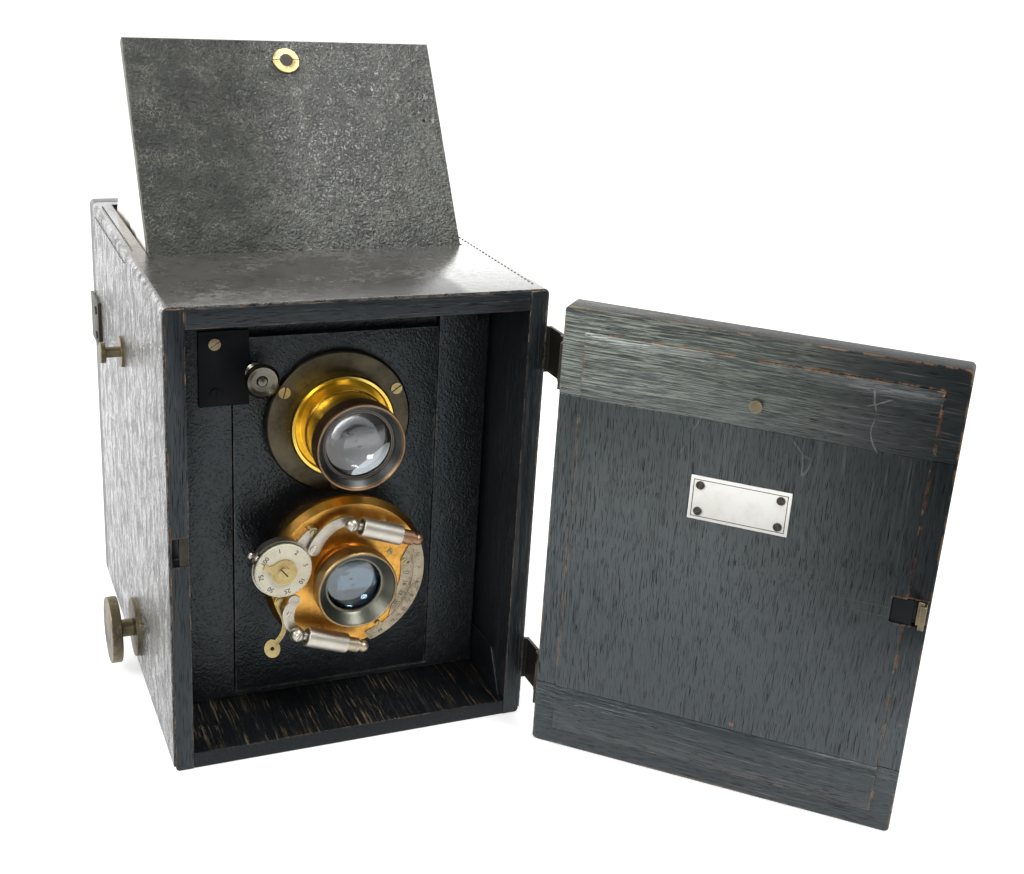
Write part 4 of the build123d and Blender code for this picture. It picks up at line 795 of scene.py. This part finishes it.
def add_pleats(verts, faces, middle_z, half_z, skin):
    """One side of a bellows' leather, skin in from the CAD block; the outer side has skin 0."""
    first = len(verts)
    count = 4 * CORNER_POINTS
    for k in range(BELLOWS_STEPS + 1):
        fold = (0.0, 0.5, 1.0, 0.5)[k % 4]
        inset = skin + PLEAT_DEPTH * fold + BELLOWS_CLEAR
        y = BELLOWS_LOW.y + (BELLOWS_HIGH.y - BELLOWS_LOW.y) * k / BELLOWS_STEPS
        verts += ring(middle_z, BELLOWS_HALF_X - inset, half_z - inset, y, BELLOWS_CORNER)
    for k in range(BELLOWS_STEPS):
        for j in range(count):
            a, b = first + k * count + j, first + k * count + (j + 1) % count
            quad = (a, b, b + count, a + count)
            faces.append(quad if skin else quad[::-1])


bellows_verts, bellows_faces = [], []
for middle_z, half_z in ((BELLOWS_LOW.z + LOWER_HALF, LOWER_HALF), (BELLOWS_HIGH.z - UPPER_HALF, UPPER_HALF)):
    for skin in (0.0, SKIN):
        add_pleats(bellows_verts, bellows_faces, middle_z, half_z, skin)
bellows = piece("bellows_leather_folds", bellows_verts, bellows_faces, None, "bellows", smooth=False)
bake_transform(bellows)
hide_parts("bellows")

# Saddle stitches beside the leather's edges
STITCH_LENGTH, STITCH_RADIUS, STITCH_STEP = 2.3 * MM, 0.32 * MM, 3.5 * MM
STITCH_TILT = 5            # degrees either way
BEAD_AROUND, BEAD_ALONG = 8, 6
LEFT_FRONT, RIGHT_FRONT, SEAM_REAR = -10 * MM, -88 * MM, 80 * MM
SIDE_SEAM_Z = TOP_Z - 5.0 * MM
LEFT_DECK_SEAM, RIGHT_DECK_SEAM = -HALF_W + 3.4 * MM, HALF_W - 4.0 * MM
SEAMS = [
    ((-HALF_W, LEFT_FRONT, SIDE_SEAM_Z), (-HALF_W, SEAM_REAR, SIDE_SEAM_Z)),
    ((HALF_W, RIGHT_FRONT, SIDE_SEAM_Z), (HALF_W, SEAM_REAR, SIDE_SEAM_Z)),
    ((RIGHT_DECK_SEAM, RIGHT_FRONT, TOP_Z), (RIGHT_DECK_SEAM, SEAM_REAR, TOP_Z)),
    ((LEFT_DECK_SEAM, LEFT_FRONT, TOP_Z), (LEFT_DECK_SEAM, SEAM_REAR, TOP_Z)),
]


def add_stitch(matrix, verts, faces):
    """A round-ended stitch along the matrix's x, added to the lists."""
    first = len(verts)
    for i in range(BEAD_ALONG + 1):
        a = math.pi * i / BEAD_ALONG
        wide = math.sin(a) * STITCH_RADIUS
        for j in range(BEAD_AROUND):
            b = 2 * math.pi * j / BEAD_AROUND
            local = Vector((-math.cos(a) * STITCH_LENGTH / 2, wide * math.cos(b), wide * math.sin(b)))
            verts.append(matrix @ local)
    for i in range(BEAD_ALONG):
        row = first + i * BEAD_AROUND
        for j in range(BEAD_AROUND):
            k = (j + 1) % BEAD_AROUND
            faces.append((row + j, row + k, row + BEAD_AROUND + k, row + BEAD_AROUND + j))


stitch_verts, stitch_faces = [], []
for begin, end in SEAMS:
    begin, end = Vector(begin), Vector(end)
    for k in range(int((end - begin).length / STITCH_STEP)):
        at = begin + (end - begin).normalized() * STITCH_STEP * (k + 0.5)
        angle = math.radians(90 + random.uniform(-STITCH_TILT, STITCH_TILT))
        tilt = Matrix.Rotation(angle, 4, "Z")
        add_stitch(Matrix.Translation(at) @ tilt, stitch_verts, stitch_faces)
piece("seam_stitches", stitch_verts, stitch_faces, "body", "thread")


# Engraving: flat meshes a hair in front of the faces they mark. Angles are degrees, and are
# counted anticlockwise from the right as the camera's front is seen.
HAIR = 0.03 * MM
BOLD = 0.012               # thickening of the figures' strokes, as a share of their size


def arc_angle(first, last, k, count):
    """The k-th of count angles from first to last, in radians."""
    return math.radians(first + (last - first) * k / (count - 1))


def flat_text(label, size):
    """Mesh of a centred label, in its own plane."""
    curve = bpy.data.curves.new(label, "FONT")
    curve.body = label
    curve.size = size
    curve.align_x = "CENTER"
    curve.align_y = "CENTER"
    curve.offset = BOLD * size
    carrier = bpy.data.objects.new(label, curve)
    bpy.context.collection.objects.link(carrier)
    bpy.context.view_layer.update()
    mesh = bpy.data.meshes.new_from_object(carrier.evaluated_get(bpy.context.evaluated_depsgraph_get()))
    bpy.data.objects.remove(carrier)
    return mesh


def numerals(name, labels, middle, forward, radius, first, last, size, body):
    """Engraved figures set round an arc on a face that looks forward, as one mesh."""
    verts, faces = [], []
    labels = labels.split()
    for k, label in enumerate(labels):
        angle = arc_angle(first, last, k, len(labels))
        mesh = flat_text(label, size)
        at = Vector((middle[0] + radius * math.cos(angle), middle[1] + radius * math.sin(angle), forward))
        turn = Matrix.Rotation(angle - math.radians(90), 4, "Z")
        place = LENS @ Matrix.Translation(at) @ turn
        start = len(verts)
        verts += [place @ v.co for v in mesh.vertices]
        faces += [tuple(start + i for i in f.vertices) for f in mesh.polygons]
        bpy.data.meshes.remove(mesh)
    return piece(name, verts, faces, body, "engraving", smooth=False)


def ticks(name, middle, forward, inner, outer, first, last, count, width, body):
    """Engraved division lines round an arc; every fifth is longer."""
    verts, faces = [], []
    base = Vector((*middle, forward))
    for k in range(count):
        angle = arc_angle(first, last, k, count)
        reach = outer if k % 5 == 0 else inner + 0.6 * (outer - inner)
        along = Vector((math.cos(angle), math.sin(angle), 0))
        across = Vector((-math.sin(angle), math.cos(angle), 0)) * width / 2
        start = len(verts)
        for r, c in ((inner, -across), (reach, -across), (reach, across), (inner, across)):
            verts.append(LENS @ (base + along * r + c))
        faces.append((start, start + 1, start + 2, start + 3))
    return piece(name, verts, faces, body, "engraving", smooth=False)


def outline(name, left, right, low, high, height):
    """Engraved frame line on the open door, in the door's axes."""
    line = 0.3 * MM
    corners = [(left, low), (right, low), (right, high), (left, high)]
    inner = [(left + line, low + line), (right - line, low + line),
             (right - line, high - line), (left + line, high - line)]
    verts = [DOOR @ Vector((u, v, height)) for u, v in corners + inner]
    faces = [(k, (k + 1) % 4, 4 + (k + 1) % 4, 4 + k) for k in range(4)]
    return piece(name, verts, faces, "door", "engraving", smooth=False)


DIAL_LOW, DIAL_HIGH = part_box("speed_dial")
DIAL = ((DIAL_LOW.x + DIAL_HIGH.x) / 2, (DIAL_LOW.z + DIAL_HIGH.z) / 2)
DIAL_FACE = BOARD_Y - DIAL_LOW.y + HAIR
SCALE_FACE = BOARD_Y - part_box("scale_plates")[0].y + HAIR
numerals("dial_figures", "1 2 5 10 25 50 75 100", DIAL, DIAL_FACE, 9.2 * MM, 100, -215, 2.7 * MM, "dial")
ticks("dial_divisions", DIAL, DIAL_FACE, 11.3 * MM, 10.9 * MM, 120, -225, 41, 0.14 * MM, "dial")
numerals("aperture_figures", "8 11 16 22 32", TAKE, SCALE_FACE, 26.2 * MM, 6, -36, 2.4 * MM, "rising_front")
numerals("stop_figures", "1 2 4 8 16 32 64", TAKE, SCALE_FACE, 31.6 * MM, 12, -62, 2.0 * MM, "rising_front")
ticks("aperture_divisions", TAKE, SCALE_FACE, 28.4 * MM, 27.7 * MM, 12, -42, 26, 0.16 * MM, "rising_front")
ticks("stop_divisions", TAKE, SCALE_FACE, 29.3 * MM, 30.3 * MM, 16, -66, 36, 0.16 * MM, "rising_front")

PLATE_LOW, PLATE_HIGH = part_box("nameplate")
PLATE_POINTS = [DOOR.inverted() @ v.co for v in frame["nodes"]["nameplate"].data.vertices]
PLATE_LEFT, PLATE_RIGHT = min(p.x for p in PLATE_POINTS), max(p.x for p in PLATE_POINTS)
PLATE_FACE = max(p.z for p in PLATE_POINTS) + 0.02 * MM
MARGIN = 1.2 * MM
outline("nameplate_border", PLATE_LEFT + MARGIN, PLATE_RIGHT - MARGIN, PLATE_LOW.z + MARGIN,
        PLATE_HIGH.z - MARGIN, PLATE_FACE)
PAD_FACE = 12.0 * MM + HAIR
GROOVE_LEFT, GROOVE_RIGHT = 122 * MM, 139.6 * MM
GROOVE_LOW, GROOVE_HIGH = 93.4 * MM, 97.6 * MM
outline("latch_groove", GROOVE_LEFT, GROOVE_RIGHT, GROOVE_LOW, GROOVE_HIGH, PAD_FACE)

# ==================================================================== light, camera
PHOTO_WIDTH = 1024
FOCAL_PX = 1391.76
SENSOR = 36.0
CAMERA_AT = Vector((-0.15687, -0.57932, 0.33434))
AZIMUTH, ELEVATION, ROLL = (math.radians(a) for a in (-24.48, 20.81, 3.81))


def aim(azimuth, elevation, roll):
    """Rotation of a camera that looks that far round and down, tipped by roll."""
    level = math.cos(elevation)
    ahead = Vector((-math.sin(azimuth) * level, math.cos(azimuth) * level, -math.sin(elevation)))
    right = ahead.cross(UP).normalized()
    above = right.cross(ahead)
    x = math.cos(roll) * right + math.sin(roll) * above
    y = -math.sin(roll) * right + math.cos(roll) * above
    return Matrix((x, y, -ahead)).transposed().to_4x4()


camera = bpy.data.objects.new("camera", bpy.data.cameras.new("camera"))
bpy.context.collection.objects.link(camera)
camera.data.sensor_width = SENSOR
camera.data.lens = FOCAL_PX / PHOTO_WIDTH * SENSOR
camera.data.clip_start = 0.01
camera.data.clip_end = 20
camera.matrix_world = Matrix.Translation(CAMERA_AT) @ aim(AZIMUTH, ELEVATION, ROLL)
bpy.context.scene.camera = camera


def softbox(name, at, target, size, power):
    """Rectangular lamp at a place, turned to a target."""
    light = bpy.data.objects.new(name, bpy.data.lights.new(name, "AREA"))
    light.data.shape = "RECTANGLE"
    light.data.size, light.data.size_y = size
    light.data.energy = power
    light.location = at
    light.rotation_euler = (Vector(target) - Vector(at)).to_track_quat("-Z", "Y").to_euler()
    bpy.context.collection.objects.link(light)


def mirrored(name, point, normal, size, power, distance=1.2):
    """Softbox that the camera sees reflected at a point of a flat face."""
    behind = CAMERA_AT - 2 * (CAMERA_AT - point).dot(normal) * normal
    softbox(name, point + distance * (point - behind).normalized(), point, size, power)


CENTRE = (0.05, -0.05, 0.1)
softbox("key", (-1.3, -0.2, 1.1), CENTRE, (1.0, 0.9), 20)
softbox("side", (-1.3, 1.1, 0.7), CENTRE, (1.4, 1.2), 18)
softbox("front", (-0.55, -1.5, 0.75), CENTRE, (0.5, 0.4), 6)
mirrored("lid_sheen", LID @ Vector((0.036, 0.052, 0)), LID_OUT, (0.36, 0.50), 9.5)
mirrored("deck_sheen", Vector((0.055, -0.060, TOP_Z)), UP, (0.42, 0.50), 0.50)

# Studio walls, brightest behind the object; the camera itself sees them white
world = bpy.data.worlds.new("studio")
bpy.context.scene.world = world
world.use_nodes = True
sky = Graph(world.node_tree, "Generated")
east, north, up = sky.parts(sky.position)
glow = sky.total(
    0.16,
    sky.times(sky.rise(north, -0.1, 0.45), 1.6),
    sky.times(sky.rise(east, -0.25, -0.75), 0.10),
    sky.times(sky.rise(up, 0.45, 0.95), 0.25),
)
seen = world.node_tree.nodes.new("ShaderNodeLightPath").outputs["Is Camera Ray"]
background = world.node_tree.nodes["Background"]
background.inputs["Color"].default_value = WHITE
world.node_tree.links.new(sky.larger(glow, seen), background.inputs["Strength"])

# Pale floor: lit up for the camera, and on some sides of the object for its reflections
FLOOR_HALF = 4
FLOOR_GAP = 0.0002
corners = [(sx * FLOOR_HALF, sy * FLOOR_HALF, 0) for sx, sy in ((-1, -1), (1, -1), (1, 1), (-1, 1))]
floor_mesh = bpy.data.meshes.new("floor")
floor_mesh.from_pydata(corners, [], [(0, 1, 2, 3)])
floor = bpy.data.objects.new("floor", floor_mesh)
floor.location.z = CAD_BOX[0][2] - FLOOR_GAP
bpy.context.collection.objects.link(floor)
white = Shader("floor_white")
rays = white.tree.nodes.new("ShaderNodeLightPath").outputs
floor_x, floor_y = white.parts(white.position)[:2]
beside = white.larger(white.rise(floor_y, 0.0, 0.2), white.rise(floor_x, -0.50, -0.28))
near = white.times(white.rise(floor_y, -1.0, -0.6), beside)
reflected = white.times(white.times(rays["Is Glossy Ray"], near), 0.75)
white.put(white.bsdf.inputs["Emission Color"], grey(1.0))
white.put(white.bsdf.inputs["Emission Strength"],
          white.total(white.times(rays["Is Camera Ray"], 0.55), reflected))
pale = white.mix(rays["Is Camera Ray"], grey(0.36), grey(0.62))
dress(floor, white.finish(pale, white.ramp(white.noise(3.0), (0.0, 0.6), (1.0, 0.7)), specular=0.0))

bpy.context.scene.view_settings.view_transform = "Standard"
